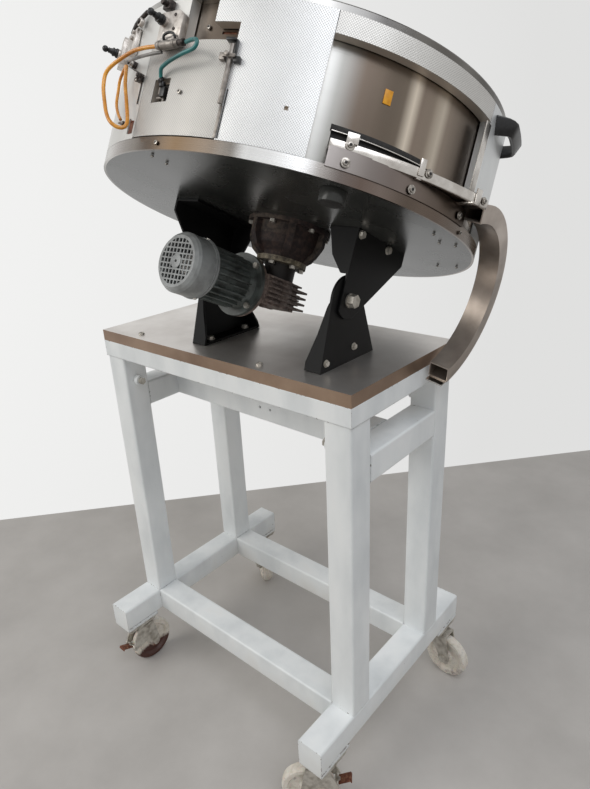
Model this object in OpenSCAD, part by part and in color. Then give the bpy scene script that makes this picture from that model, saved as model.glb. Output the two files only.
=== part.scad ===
// Centrifugal feeder: a leaning drum with a turning feed disc, carried on two
// folded trunnion brackets over a height-adjustable table on castors.

/* [Stand] */
// Outside length of the stand frame and table, along X
table_length = 714.4; // [640:1:760]
// Outside depth of the stand frame and table, along Y
table_depth = 360; // [320:1:420]
// Side of the square steel tube
tube_side = 60; // [50:1:70]
// Wall of the hollow legs
tube_wall = 3; // [2:0.5:5]
// Side of the inner posts that slide in the legs
post_side = 50; // [36:1:52]
// Height of the legs above the foot beams
leg_height = 671.5; // [500:1:800]
// Length of each foot beam
foot_length = 582; // [480:1:640]
// Height of the side rails' underside above the foot beams
side_rail_rise = 536.5; // [300:1:560]
// Upward travel of the table
lift_travel = 120; // [40:1:200]

/* [Castors] */
// Wheel diameter
wheel_diameter = 116; // [80:1:120]
// Wheel width
wheel_width = 28; // [18:1:32]
// Axle diameter
axle_diameter = 12; // [8:1:14]
// Trail of the wheel behind the swivel axis
castor_trail = 35; // [20:1:45]
// Distance of each swivel axis in from the foot beam's end
castor_inset = 45; // [38:1:60]
// Whole height of a castor with its plate
castor_height = 148.5; // [140:1:165]
// Thickness of the weld-on pads over the castors
pad_thickness = 8; // [4:1:12]

/* [Table] */
// Height of the lift frame's tube
frame_height = 37.5; // [30:0.5:50]
// Height of the steel-clad table top
top_height = 25.1; // [15:0.1:35]
// Sheet thickness of the steel cladding
clad_sheet = 2; // [1:0.5:3]

/* [Brackets] */
// Sheet thickness of the folded brackets
bracket_sheet = 5; // [3:0.5:6]
// Height of the tilt axis above the table top
pivot_height = 118.4; // [105:0.1:140]
// Position of the tilt axis along Y
pivot_y = -50; // [-70:1:-30]
// Half width of a lower bracket at the table
bracket_half_base = 84.5; // [70:0.5:95]
// Radius of the lower bracket's round top
bracket_top_r = 45; // [40:1:50]
// Depth of the lower bracket's folded flanges at the table
bracket_flange = 38; // [25:1:45]
// Radius of the upper bracket's round end
arm_end_r = 34.5; // [30:0.5:38]
// Depth of the upper bracket's folded flange at the drum
arm_flange = 64; // [45:1:70]
// Width of the upper bracket at the drum
arm_width = 172; // [140:1:185]
// Distance from the drum axis to the right bracket's outer face
bracket_right = 182; // [165:1:200]
// Distance from the drum axis to the left bracket's outer face
bracket_left = 175; // [160:1:190]
// Diameter of the pivot bolts
pivot_bolt = 16; // [12:1:20]

/* [Drum] */
// Outer radius of the drum
drum_radius = 360; // [335:1:375]
// Lean of the drum, in degrees
drum_tilt = 25.3; // [18:0.1:30]
// Reach of the drum past the right end of the table
drum_overhang = 82.8; // [74:0.2:88]
// Distance from the tilt axis up to the drum's underside
pivot_to_disc = 127; // [120:1:140]
// Thickness of the base plate
base_thickness = 10; // [6:1:14]
// Height of the brushed band round the base
band_height = 19.5; // [15:0.5:24]
// Sheet thickness of the band
band_sheet = 4; // [2:0.5:6]
// Height of the insulated covers
cover_height = 206; // [190:1:230]
// Thickness of the insulated covers
cover_thickness = 18; // [10:1:18]
// Height of the bright rim
rim_height = 12; // [8:1:16]
// Distance from the covers' outer face in to the inner wall
wall_inset = 20; // [20:1:30]
// Sheet thickness of the inner wall
wall_sheet = 2; // [1:0.5:3]
// Gap between neighbouring covers
cover_gap = 1; // [0.6:0.1:1.5]

/* [Outlet] */
// Height of the outlet ledge above the drum's underside
lane_level = 50; // [48:1:52]
// Height of the outlet slot in the inner wall
slot_height = 25; // [15:1:26]
// Bottom of the window above the drum's underside
window_bottom = 75; // [74:1:90]
// Top of the window above the drum's underside
window_top = 195; // [150:1:205]
// Height of the guide rail
rail_height = 12; // [8:1:16]
// Thickness of the guide rail
rail_thickness = 6; // [4:1:8]
// Radius of the guide rail's curve beyond the drum radius
rail_extra_r = 149; // [140:1:160]

/* [Chute] */
// Width of the chute
chute_width = 40; // [30:1:44]
// Depth of the chute's section
chute_depth = 30; // [24:1:34]
// Sheet thickness of the chute
chute_sheet = 2; // [1:0.5:3]
// Sideways gap between the chute's mouth and the table's edge
chute_gap = 15; // [10:1:20]
// Drop of the chute's lowest point below the table top
chute_drop = 45.6; // [38:1:50]

/* [Drive] */
// Distance between the worm axis and the wheel axis
centre_distance = 30; // [28:1:32]
// Depth of the worm axis below the drum's underside
motor_depth = 137.5; // [135:0.5:142]
// Radius of the motor body over its fins
motor_radius = 50; // [45:1:52]
// Radius of the fan cowl
cowl_radius = 54; // [50:1:56]
// Radius of the motor's mounting flange
flange_radius = 61.5; // [56:0.5:65]
// Diameter of the motor shaft
shaft_diameter = 14; // [10:1:18]
// Diameter of the shaft that turns the feed disc
disc_shaft = 28; // [20:1:34]
// Radial running clearance of the shafts
running_gap = 0.05; // [0.02:0.01:0.1]

/* [Hidden] */

eps = 0.01;
seat = 0.3;
foot_z = castor_height + pad_thickness;
leg_z = foot_z + tube_side;
leg_top = leg_z + leg_height;
frame_z = leg_top + seat;
plate_z = frame_z + frame_height;
table_z = plate_z + top_height - seat;
leg_x = table_length / 2 - 2 - tube_side / 2;
leg_y = table_depth / 2 - 2 - tube_side / 2;
pivot_z = table_z + pivot_height;
drum_x = table_length / 2 + drum_overhang - drum_radius;
wall_radius = drum_radius - wall_inset;
wheel_z = wheel_diameter / 2;
castor_y = foot_length / 2 - castor_inset;
cover_z = band_height + 0.5;
rim_z = cover_z + cover_height;
drum_top = rim_z + rim_height;
cover_in = drum_radius - cover_thickness;
wheel_gap = 2;
fork_sheet = 4;
lane_end = 2;
notch_end = 22;
pivot_d = pivot_bolt;

// World place of a point of the drum: m to the rear, n along its axis
function world_y(m, n) = pivot_y + m * cos(drum_tilt) + (pivot_to_disc + n) * sin(drum_tilt);
function world_z(m, n) = pivot_z - m * sin(drum_tilt) + (pivot_to_disc + n) * cos(drum_tilt);
function on_skin(a, r) = [r * cos(a), r * sin(a)];

// ---- shared shapes ----
module on_pivot() {
    translate([drum_x, pivot_y, pivot_z]) rotate([-drum_tilt, 0, 0]) children();
}
module on_drum() {
    on_pivot() translate([0, 0, pivot_to_disc]) children();
}
// Something standing on the drum's skin at angle a and height n, its Z outward
module at_skin(a, n, r = drum_radius) {
    rotate([0, 0, a]) translate([r, 0, n]) rotate([0, 90, 0]) rotate([0, 0, 90]) children();
}
module round_rect(w, h, r) {
    translate([-w / 2 + r, -h / 2]) square([w - 2 * r, h]);
    translate([-w / 2, -h / 2 + r]) square([w, h - 2 * r]);
    for (x = [-1, 1], y = [-1, 1])
        translate([x * (w / 2 - r), y * (h / 2 - r)]) circle(r, $fn = 24);
}
module rounded_plate(w, h, t, r) {
    linear_extrude(t) round_rect(w, h, r);
}
module centred_box(x, y, z) {
    translate([-x / 2, -y / 2, 0]) cube([x, y, z]);
}
module arc_wall(r_out, t, a0, a1, z0, z1) {
    translate([0, 0, z0]) rotate([0, 0, a0])
        rotate_extrude(angle = a1 - a0, $fn = 120)
            translate([r_out - t, 0]) square([t, z1 - z0]);
}
module ring(r_out, r_in, z0, z1) {
    translate([0, 0, z0]) rotate_extrude($fn = 120)
        translate([r_in, 0]) square([r_out - r_in, z1 - z0]);
}
module hex_screw(d, head_h, washer_r, washer_t) {
    if (washer_t > 0) cylinder(r = washer_r, h = washer_t, $fn = 32);
    translate([0, 0, washer_t]) cylinder(d = d * 1.75, h = head_h, $fn = 6);
}
module socket_screw(d, head_h) {
    difference() {
        cylinder(d = d * 1.6, h = head_h, $fn = 28);
        translate([0, 0, head_h * 0.45]) cylinder(d = d * 0.95, h = head_h, $fn = 6);
    }
}
// Angle left free on each side of a seam, in degrees
seam = cover_gap / 2 / drum_radius * 57.3;
module cover(a0, a1, z0 = cover_z, z1 = rim_z) {
    arc_wall(drum_radius, cover_thickness, a0 + seam, a1 - seam, z0, z1);
}

// ---- stand ----
module stand_frame() {
    color("white") {
        for (x = [-1, 1]) {
            // foot beam with its corner edges rounded along the tube
            translate([x * leg_x, 0, foot_z + tube_side / 2]) rotate([90, 0, 0])
                translate([0, 0, -foot_length / 2])
                    rounded_plate(tube_side, tube_side, foot_length, 5);
            for (y = [-1, 1]) {
                // leg, open at the top for the inner post, with a welded nut boss
                translate([x * leg_x, y * leg_y, leg_z - eps]) difference() {
                    union() {
                        rounded_plate(tube_side, tube_side, leg_height + eps, 5);
                        translate([-x * (tube_side / 2 - eps), 0, leg_height - clamp_drop])
                            rotate([0, -90 * x, 0]) cylinder(d = 24, h = boss_height, $fn = 32);
                    }
                    translate([0, 0, leg_height - lift_depth])
                        centred_box(tube_side - 2 * tube_wall, tube_side - 2 * tube_wall,
                            lift_depth + 1);
                    translate([0, 0, leg_height - clamp_drop]) rotate([0, -90 * x, 0])
                        cylinder(d = clamp_bolt + 0.1, h = tube_side, $fn = 32);
                }
                // castor pad under the beam's end
                translate([x * leg_x, y * (foot_length / 2 - pad_length / 2), castor_height])
                    centred_box(tube_side, pad_length, pad_thickness + eps);
            }
            // side rail between the two legs
            translate([x * leg_x, 0, leg_z + side_rail_rise + tube_side / 2])
                rotate([90, 0, 0]) translate([0, 0, -leg_y + tube_side / 2 - eps])
                    rounded_plate(tube_side, tube_side, 2 * leg_y - tube_side + 2 * eps, 5);
        }
        // cross rail half way back between the side rails, with two screw holes
        translate([0, 0, leg_z + side_rail_rise + tube_side / 2]) difference() {
            rotate([0, 90, 0]) translate([0, 0, -leg_x + tube_side / 2 - eps])
                rounded_plate(tube_side, tube_side, 2 * leg_x - tube_side + 2 * eps, 5);
            for (x = [-5, 26])
                translate([x, -tube_side / 2 - 1, 2]) rotate([-90, 0, 0])
                    cylinder(d = 6, h = 20, $fn = 24);
        }
        // long rails between the foot beams
        for (y = [-1, 1])
            translate([0, y * leg_y, foot_z + tube_side / 2]) rotate([0, 90, 0])
                translate([0, 0, -leg_x + tube_side / 2 - eps])
                    rounded_plate(tube_side, tube_side, 2 * leg_x - tube_side + 2 * eps, 5);
    }
}
pad_length = 95;
boss_height = 14;
clamp_drop = 60;
clamp_bolt = 10;
lift_depth = lift_travel + 200;
post_length = lift_travel + 180;

module clamp_bolts() {
    color("silver")
        for (x = [-1, 1], y = [-1, 1])
            translate([x * (leg_x - tube_side / 2 - boss_height), y * leg_y, leg_top - clamp_drop])
                rotate([0, -90 * x, 0]) {
                    cylinder(d = 17, h = 8, $fn = 6);
                    // shank that presses on the inner post
                    translate([0, 0, seat - (tube_side - post_side) / 2 - boss_height])
                        cylinder(d = clamp_bolt, h = boss_height + (tube_side - post_side) / 2,
                            $fn = 32);
                }
}

module castor_plates() {
    color("silver")
        for (x = [-1, 1], y = [-1, 1])
            translate([x * leg_x, y * castor_y, castor_height - 6]) {
                rounded_plate(tube_side + 2, 84, 6, 6);
                for (i = [-1, 1], j = [-1, 1])
                    translate([i * 22, j * 32, -5]) cylinder(d = 14, h = 5 + eps, $fn = 6);
            }
}

// ---- castors, drawn with the swivel axis on Z and the wheel trailing to -X ----
pedal_x = -castor_trail + (wheel_diameter / 2 + 6) * cos(15);
pedal_z = wheel_z + (wheel_diameter / 2 + 6) * sin(15);
pedal_pin = 6;
module castor_fork_at(x, y, turn, braked = false) {
    half = wheel_width / 2 + wheel_gap;
    top = castor_height - 6 - 0.3;
    color("silver") translate([x * leg_x, y * castor_y, 0]) rotate([0, 0, turn]) {
        // swivel race under the plate
        translate([0, 0, top - 15]) rotate_extrude($fn = 48)
            polygon([[0, 0], [20, 0], [27, 5], [27, 10], [23, 15], [0, 15]]);
        // crown and the two legs of the fork
        translate([-12, 0, top - 19]) centred_box(52, 2 * (half + fork_sheet), 4.2);
        for (s = [-1, 1])
            translate([0, s * (half + fork_sheet / 2) + fork_sheet / 2, 0]) rotate([90, 0, 0])
                linear_extrude(fork_sheet) difference() {
                    union() {
                        polygon([[-38, top - 15], [14, top - 15], [14, top - 30],
                            [-castor_trail + 15, wheel_z + 4], [-castor_trail + 14, wheel_z - 7],
                            [-castor_trail - 14, wheel_z - 7], [-castor_trail - 15, wheel_z + 6],
                            [-42, top - 34]]);
                        translate([-castor_trail, wheel_z]) circle(16, $fn = 32);
                        // ear that carries the pedal's pin
                        if (braked) {
                            polygon([[14, top - 24], [pedal_x + 6, pedal_z + 2],
                                [pedal_x - 6, pedal_z - 4], [-castor_trail + 14, wheel_z + 20]]);
                            translate([pedal_x, pedal_z]) circle(7, $fn = 32);
                        }
                    }
                    translate([-castor_trail, wheel_z]) circle(d = axle_diameter, $fn = 32);
                    if (braked)
                        translate([pedal_x, pedal_z]) circle(d = pedal_pin + 0.1, $fn = 32);
                }
        // axle bolt with its head and nut
        translate([-castor_trail, -half - fork_sheet - 7, wheel_z]) rotate([-90, 0, 0]) {
            cylinder(d = axle_diameter, h = 2 * (half + fork_sheet) + 14, $fn = 32);
            cylinder(d = 19, h = 7, $fn = 6);
            translate([0, 0, 2 * (half + fork_sheet) + 7]) cylinder(d = 19, h = 7, $fn = 6);
        }
    }
}
module castor_wheel_at(x, y, turn) {
    color("ivory") translate([x * leg_x, y * castor_y, 0]) rotate([0, 0, turn])
        translate([-castor_trail, 0, wheel_z]) rotate([90, 0, 0])
            rotate_extrude($fn = 72) difference() {
                w = wheel_width / 2;
                r = wheel_diameter / 2;
                b = axle_diameter / 2 + 0.06;
                polygon([[b, -w], [16, -w], [16, -w + 3], [20, -w + 8], [r - 18, -w + 8],
                    [r - 13, -w + 2], [r - 4, -w + 2], [r - 1, -w + 5], [r, -w + 9],
                    [r, w - 9], [r - 1, w - 5], [r - 4, w - 2], [r - 13, w - 2],
                    [r - 18, w - 8], [20, w - 8], [16, w - 3], [16, w], [b, w]]);
            }
}
module brake_pedal_at(x, y, turn) {
    half = wheel_width / 2 + wheel_gap;
    color("dimgray") translate([x * leg_x, y * castor_y, 0]) rotate([0, 0, turn])
        translate([pedal_x, 0, pedal_z]) {
            // pin through both ears, with the pedal's sleeve between them
            translate([0, half + fork_sheet + 1, 0]) rotate([90, 0, 0])
                cylinder(d = pedal_pin, h = 2 * (half + fork_sheet + 1), $fn = 32);
            translate([0, half - 0.5, 0]) rotate([90, 0, 0])
                cylinder(d = 9, h = 2 * half - 1, $fn = 32);
            // bent tread plate
            rotate([0, -23, 0]) {
                translate([2, -12, -1.5]) cube([40, 24, 3]);
                translate([39, -12, -8]) cube([3, 24, 8]);
            }
        }
}
turn_fl = -91;
turn_fr = 35;
turn_rl = 150;
turn_rr = 175;
module castor_fork_fl() { castor_fork_at(-1, -1, turn_fl, true); }
module castor_fork_fr() { castor_fork_at(1, -1, turn_fr, true); }
module castor_fork_rl() { castor_fork_at(-1, 1, turn_rl); }
module castor_fork_rr() { castor_fork_at(1, 1, turn_rr); }
module castor_wheel_fl() { castor_wheel_at(-1, -1, turn_fl); }
module castor_wheel_fr() { castor_wheel_at(1, -1, turn_fr); }
module castor_wheel_rl() { castor_wheel_at(-1, 1, turn_rl); }
module castor_wheel_rr() { castor_wheel_at(1, 1, turn_rr); }
module brake_pedal_fl() { brake_pedal_at(-1, -1, turn_fl); }
module brake_pedal_fr() { brake_pedal_at(1, -1, turn_fr); }

// ---- table ----
module lift_frame() {
    color("white") {
        // ring of rectangular tube
        translate([0, 0, frame_z]) difference() {
            centred_box(table_length, table_depth, frame_height);
            translate([0, 0, -1])
                centred_box(table_length - 2 * tube_side, table_depth - 2 * tube_side,
                    frame_height + 2);
        }
        // inner posts that slide in the legs
        for (x = [-1, 1], y = [-1, 1])
            translate([x * leg_x, y * leg_y, frame_z - post_length])
                rounded_plate(post_side, post_side, post_length + eps, 4);
    }
}
module table_top() {
    color("gray") translate([0, 0, plate_z]) {
        // board with the steel skin folded down round its edge
        centred_box(table_length - 2 * clad_sheet, table_depth - 2 * clad_sheet,
            table_z - plate_z - clad_sheet + eps);
        difference() {
            centred_box(table_length, table_depth, table_z - plate_z);
            translate([0, 0, -1])
                centred_box(table_length - 2 * clad_sheet, table_depth - 2 * clad_sheet,
                    table_z - plate_z - clad_sheet + 1);
        }
    }
}

// Lower bracket seen from the outside: Y across, Z up, tilt axis at the origin
module lower_outline() {
    polygon([[-bracket_half_base, -pivot_height], [bracket_half_base, -pivot_height],
        on_skin(side_angle, bracket_top_r), on_skin(180 - side_angle, bracket_top_r)]);
    circle(bracket_top_r, $fn = 96);
}
// Slant of the folded edges, which run tangent to the round top
side_angle = acos(bracket_top_r / norm([bracket_half_base, pivot_height]))
    - atan2(pivot_height, bracket_half_base);
// Cut at the foot of the slanting flanges, so that they end level with the plate
flange_lift = bracket_sheet * tan(side_angle);
edge_length = sqrt(pow(bracket_half_base, 2) + pow(pivot_height, 2) - pow(bracket_top_r, 2)) - 10;
module bracket_lower(x_out, dir) {
    // x_out is the plate's outer face, dir points from the plate to the inside
    translate([x_out, pivot_y, pivot_z]) {
        difference() {
            rotate([90, 0, 90]) translate([0, 0, dir < 0 ? -bracket_sheet : 0])
                linear_extrude(bracket_sheet) difference() {
                    lower_outline();
                    circle(d = pivot_d + 0.1, $fn = 48);
                }
        }
        // front and rear flanges
        for (s = [-1, 1])
            translate([0, s * bracket_half_base, -pivot_height]) mirror([0, s > 0 ? 1 : 0, 0])
                rotate([-side_angle, 0, 0]) mirror([dir < 0 ? 1 : 0, 0, 0])
                    rotate([90, 0, 0]) translate([0, 0, -bracket_sheet])
                        linear_extrude(bracket_sheet)
                            polygon([[0, flange_lift], [bracket_flange, flange_lift], [bracket_flange, 18],
                                [bracket_flange * 0.55, 70], [9, edge_length - 8],
                                [6, edge_length], [0, edge_length]]);
        // foot flange bolted to the table
        translate([dir < 0 ? -bracket_flange : 0, -bracket_half_base + 8, -pivot_height])
            cube([bracket_flange, 2 * bracket_half_base - 16, bracket_sheet]);
    }
}
low_right_x = drum_x + bracket_right - bracket_sheet - seat;
low_left_x = drum_x - bracket_left + bracket_sheet + seat;
module bracket_lower_right() { color([0.1, 0.1, 0.1]) bracket_lower(low_right_x, -1); }
module bracket_lower_left() { color([0.1, 0.1, 0.1]) bracket_lower(low_left_x, 1); }

module table_screws() {
    color("silver") {
        // through the cladding
        for (p = [[-243.5, -153], [126, -155], [-243.5, 153], [126, 155]])
            translate([p[0], p[1], table_z]) socket_screw(8, 4);
        // in the bracket plates, low down
        for (y = [-71, 20], s = [-1, 1])
            translate([s > 0 ? low_right_x : low_left_x, pivot_y + y * 0.95, table_z + 24 + y * 0.1])
                rotate([0, s * 90, 0]) translate([0, 0, 0]) hex_screw(6, 4, 7, 1.2);
        // in the foot flanges
        for (y = [-1, 1], x = [low_right_x - bracket_flange * 0.6, low_left_x + bracket_flange * 0.6])
            translate([x, pivot_y + y * 52, table_z + bracket_sheet]) hex_screw(8, 5, 9, 1.5);
    }
}

// ---- drum shell ----
module base_disc() {
    color("gray") on_drum() difference() {
        cylinder(r = drum_radius - band_sheet, h = base_thickness, $fn = 180);
        translate([0, 0, -1]) cylinder(d = disc_shaft + 2 * bearing_wall + 2, h = base_thickness + 2, $fn = 48);
    }
}
bearing_wall = 8;
module base_band() {
    color("gray") on_drum() {
        ring(drum_radius, drum_radius - band_sheet, 0, band_height);
        // inward shelf that carries the covers and the inner wall
        ring(drum_radius - band_sheet + eps, wall_radius - wall_sheet - 6, band_height - 4, band_height);
        // web down to the base plate
        ring(wall_radius - wall_sheet, wall_radius - wall_sheet - 6, base_thickness, band_height - 3);
    }
}
module inner_wall() {
    color("silver") on_drum() difference() {
        ring(wall_radius, wall_radius - wall_sheet, band_height, drum_top);
        // outlet slot
        arc_wall(wall_radius + 2, wall_sheet + 4, -44, notch_end, lane_level, lane_level + slot_height);
        // sight slot in the notch
        arc_wall(wall_radius + 2, wall_sheet + 4, -76.5, -72.4, 180, 184);
    }
}
module top_rim() {
    color("silver") on_drum() translate([0, 0, rim_z]) rotate_extrude($fn = 180) difference() {
        polygon([[wall_radius + 0.3, 0], [drum_radius, 0], [drum_radius, rim_height - 3],
            [drum_radius - 1, rim_height - 1], [drum_radius - 3, rim_height],
            [wall_radius + 0.3, rim_height]]);
    }
}
module cover_main() {
    color("lightgray") on_drum() difference() {
        cover(-76.8, -48.5);
        // the door lies below the narrow part
        arc_wall(drum_radius + 1, cover_thickness + 2, -78, -70 + seam, cover_z - 1, 187);
        // small square hole
        at_skin(-55.1, 79.6) translate([-3, -3, -6]) cube([6, 6, 8]);
    }
}
module cover_door() {
    color("lightgray") on_drum() difference() {
        cover(-97, -70, cover_z + 1.5, 161);
        // cut-out for the elbow
        at_skin(-89.2, 89.5) translate([-18, -17.5, -14]) cube([36, 35, 20]);
    }
}
module cover_left() {
    color("gainsboro") on_drum() difference() {
        cover(-150, -85);
        // the door lies below the narrow part
        arc_wall(drum_radius + 1, cover_thickness + 2, -97 - seam, -84, cover_z - 1, 162);
        // slot near the door
        at_skin(-100.3, 41) translate([-3, -12, -10]) cube([6, 24, 12]);
    }
}
module cover_strip() {
    color("lightgray") on_drum() cover(-48.5, lane_end, window_top);
}
module cover_right() {
    color("gainsboro") on_drum() difference() {
        cover(lane_end, 40);
        // notch through which the chute passes
        arc_wall(drum_radius + 1, cover_thickness + 2, lane_end - 1, notch_end + 1.5, cover_z - 1, window_bottom + 7);
    }
}
module covers_rear() {
    color("gainsboro") on_drum()
        for (a = [40, 96.67, 153.33]) cover(a, a + 56.66);
}
module lower_plate() {
    color("silver") on_drum()
        arc_wall(drum_radius + 2, 2, -44, 0, 17, 45);
}

// ---- outlet ----
rail_r = drum_radius + rail_extra_r;
rail_off = 160;
rail_heading = 126.1;
rail_a0 = -46;
rail_a1 = -14;
module rail_centre() {
    translate([rail_off * cos(rail_heading), rail_off * sin(rail_heading), 0]) children();
}
module outlet_ledge() {
    color("silver") on_drum() {
        // filling under the ledge, between the inner wall and the lower plate
        arc_wall(drum_radius - 1, cover_thickness - 3, -43.6, -0.4, cover_z, lane_level - 2.5);
        // ledge between the inner wall and the guide rail
        translate([0, 0, lane_level - 3]) linear_extrude(3) intersection() {
            difference() {
                rail_centre() circle(rail_r - rail_thickness / 2 - 0.1, $fn = 180);
                circle(wall_radius + seat, $fn = 180);
            }
            polygon([[0, 0], on_skin(-44, 600), on_skin(-22, 640), on_skin(0, 600)]);
        }
    }
}
module guide_rail() {
    color("silver") on_drum() rail_centre()
        arc_wall(rail_r + rail_thickness / 2, rail_thickness, rail_a0, rail_a1,
            lane_level + 6, lane_level + 6 + rail_height);
}
clamp_angles = [-38.9, -18.6, -3.2];
// Radius of the rail's outer face at drum angle a
function rail_out(a) =
    let (c = rail_off * cos(a - rail_heading), s = rail_off * sin(a - rail_heading))
    c + sqrt(pow(rail_r + rail_thickness / 2, 2) - s * s);
// Radius at which a clamp's upright clears the slanting rail
function clamp_reach(a) = max(rail_out(a - 1.6), rail_out(a + 1.6), drum_radius + 5);
module rail_clamps() {
    color("silver") on_drum()
        for (a = clamp_angles) rotate([0, 0, a]) {
            x0 = drum_radius + 2 + seat;
            x1 = clamp_reach(a) + seat;
            // foot screwed to the lower plate, arm out to the rail, upright against it
            translate([x0, -9, lane_level - 24]) cube([3, 18, 21]);
            translate([x0, -9, lane_level - 6]) cube([x1 - x0 + 3, 18, 2.9]);
            translate([x1, -9, lane_level - 6]) cube([3, 18, rail_height + 14]);
        }
    // lug on the last clamp that carries the chute by its side
    color("silver") difference() {
        on_chute() translate([-chute_r - 8, -42, chute_width / 2 + seat]) cube([36, 64, 3]);
        on_drum() translate([drum_radius - 60, -80, lane_level - 3.3]) cube([200, 82, 60]);
    }
}

module socket_screws() {
    color([0.2, 0.2, 0.2]) on_drum() {
        // through the clamps
        for (a = clamp_angles) {
            at_skin(a, lane_level - 17, drum_radius + 5 + seat) socket_screw(8, 7);
            at_skin(a, lane_level + 12, clamp_reach(a) + seat + 3) socket_screw(6, 6);
        }
        // in the lower plate, band, door and inner wall
        at_skin(0.3, 8.2) socket_screw(5, 2.5);
        at_skin(-86.1, 9.4) socket_screw(5, 2.5);
        at_skin(-82.3, 84.8) socket_screw(5, 2.5);
        at_skin(-80.7, 190, wall_radius) socket_screw(5, 3);
        // round the underside
        for (p = [[-6, -341], [-6, -312], [324, -16], [311, 34], [336, 46], [230, 202], [272, 200],
            [-324, -16], [-311, 34], [-230, 202]])
            translate([p[0], p[1], 0] * drum_radius / 360) mirror([0, 0, 1]) socket_screw(6, 3);
    }
}

module handle() {
    // bow handle on the right cover
    color([0.08, 0.08, 0.08]) on_drum() rotate([0, 0, 9.5]) translate([drum_radius + seat, 10, 168])
        rotate([90, 0, 0]) linear_extrude(20) difference() {
            union() {
                translate([0, -49]) square([24, 98]);
                translate([24, -35]) square([14, 70]);
                for (s = [-1, 1]) translate([24, s * 35]) circle(14, $fn = 48);
            }
            translate([-1, -33]) square([15, 66]);
            for (s = [-1, 1]) translate([14, s * 22]) circle(11, $fn = 40);
            translate([13, -22]) square([12, 44]);
        }
}

// ---- door and pneumatic fittings ----
module door_hinge() {
    color("silver") on_drum() {
        // rod along the door's edge
        rotate([0, 0, -69.6]) translate([drum_radius + 4.3, 0, 66]) cylinder(d = 8, h = 87.7, $fn = 28);
        // clamp that bridges from the door to the main cover
        at_skin(-69.9, 128) translate([-16, -9, seat]) difference() {
            cube([32, 16, 15]);
            translate([16 + 1.9, -1, 4]) rotate([-90, 0, 0]) cylinder(d = 8.6, h = 30, $fn = 28);
        }
    }
    color([0.1, 0.1, 0.1]) on_drum() {
        // angle on top of the rod
        at_skin(-70.3, 154) translate([-13, 0, seat]) cube([22, 3, 18]);
        at_skin(-70.3, 154) translate([6, -28, seat]) cube([3, 29, 14]);
    }
}
knob_near_a = -90;
knob_far_a = -119;
module knob_block(a, w) {
    // bent plate against the cover with a raised boss for the knob
    at_skin(a, 182) translate([0, 0, seat]) {
        difference() {
            translate([-w / 2, -22, 0]) cube([w, 44, 14]);
            translate([w / 2 - 8, -30, 6]) rotate([0, 0, 0]) cube([20, 22, 20]);
        }
        translate([-4, 4, 13.9]) cylinder(d = 17, h = 8, $fn = 32);
    }
}
module hose_manifold() {
    color("lightgray") on_drum() {
        knob_block(knob_near_a, 34);
        knob_block(knob_far_a, 26);
        // cross cylinder with its end caps
        rotate([0, 0, -86.2]) translate([drum_radius + 16, -24, 148]) rotate([-90, 0, 0]) {
            cylinder(d = 17, h = 44, $fn = 40);
            translate([0, 0, 44]) cylinder(d = 13, h = 6, $fn = 32);
            translate([0, 0, -4]) cylinder(d = 14, h = 5, $fn = 32);
        }
        // saddle that hangs the cylinder from the block
        at_skin(-89, 158) translate([-10, -8, 6]) cube([20, 14, 13]);
    }
}
module knob_at(a) {
    on_drum() at_skin(a, 182) translate([-4, 4, 21.9 + 2 * seat])
        rotate_extrude($fn = 32)
            polygon([[0, 0], [6, 0], [6, 6], [4, 9], [4, 15], [7, 18], [7.5, 22], [5.5, 26], [0, 27.5]]);
}
module knob_near() { color([0.1, 0.1, 0.1]) knob_at(knob_near_a); }
module knob_far() { color([0.1, 0.1, 0.1]) knob_at(knob_far_a); }
module hose_fittings() {
    color([0.25, 0.22, 0.22]) on_drum() {
        // upper fitting on the left cover, where the hoses meet
        at_skin(-104.5, 143) {
            translate([0, 0, seat]) cylinder(d = 18, h = 9, $fn = 6);
            translate([0, 0, 9]) cylinder(d = 13, h = 11, $fn = 32);
        }
        // lower fitting
        at_skin(-103, 46) {
            translate([0, 0, seat]) cylinder(d = 11, h = 5, $fn = 6);
            translate([0, 0, 5]) cylinder(d = 8, h = 8, $fn = 24);
        }
        // lever valve beside the door, with its rod
        at_skin(-98.6, 112) {
            translate([-7, -8, seat]) cube([14, 16, 8]);
            translate([0, -8, 5]) rotate([90, 0, 0]) cylinder(d = 4, h = 34, $fn = 20);
        }
        // ring fitting and banjo near the rim
        at_skin(-112.6, 218) translate([0, 0, seat]) difference() {
            cylinder(d = 14, h = 10, $fn = 32);
            translate([0, 0, 4]) cylinder(d = 7, h = 10, $fn = 24);
        }
        at_skin(-92, 216) {
            translate([-9, -7, seat]) cube([18, 14, 12]);
            translate([0, 0, 12]) cylinder(d = 10, h = 10, $fn = 28);
        }
    }
}
module door_elbow() {
    // black elbow seated in the door's cut-out
    color([0.08, 0.08, 0.08]) on_drum() at_skin(-89.2, 89.5) {
        translate([-15, -15, seat - 14]) cube([30, 30, 4]);
        translate([-8, -12, seat - 10.1]) cube([15, 20, 18]);
        translate([-1, 7.9, 4]) rotate([-90, 0, 0]) cylinder(d = 7.5, h = 9.3, $fn = 28);
    }
}

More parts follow.
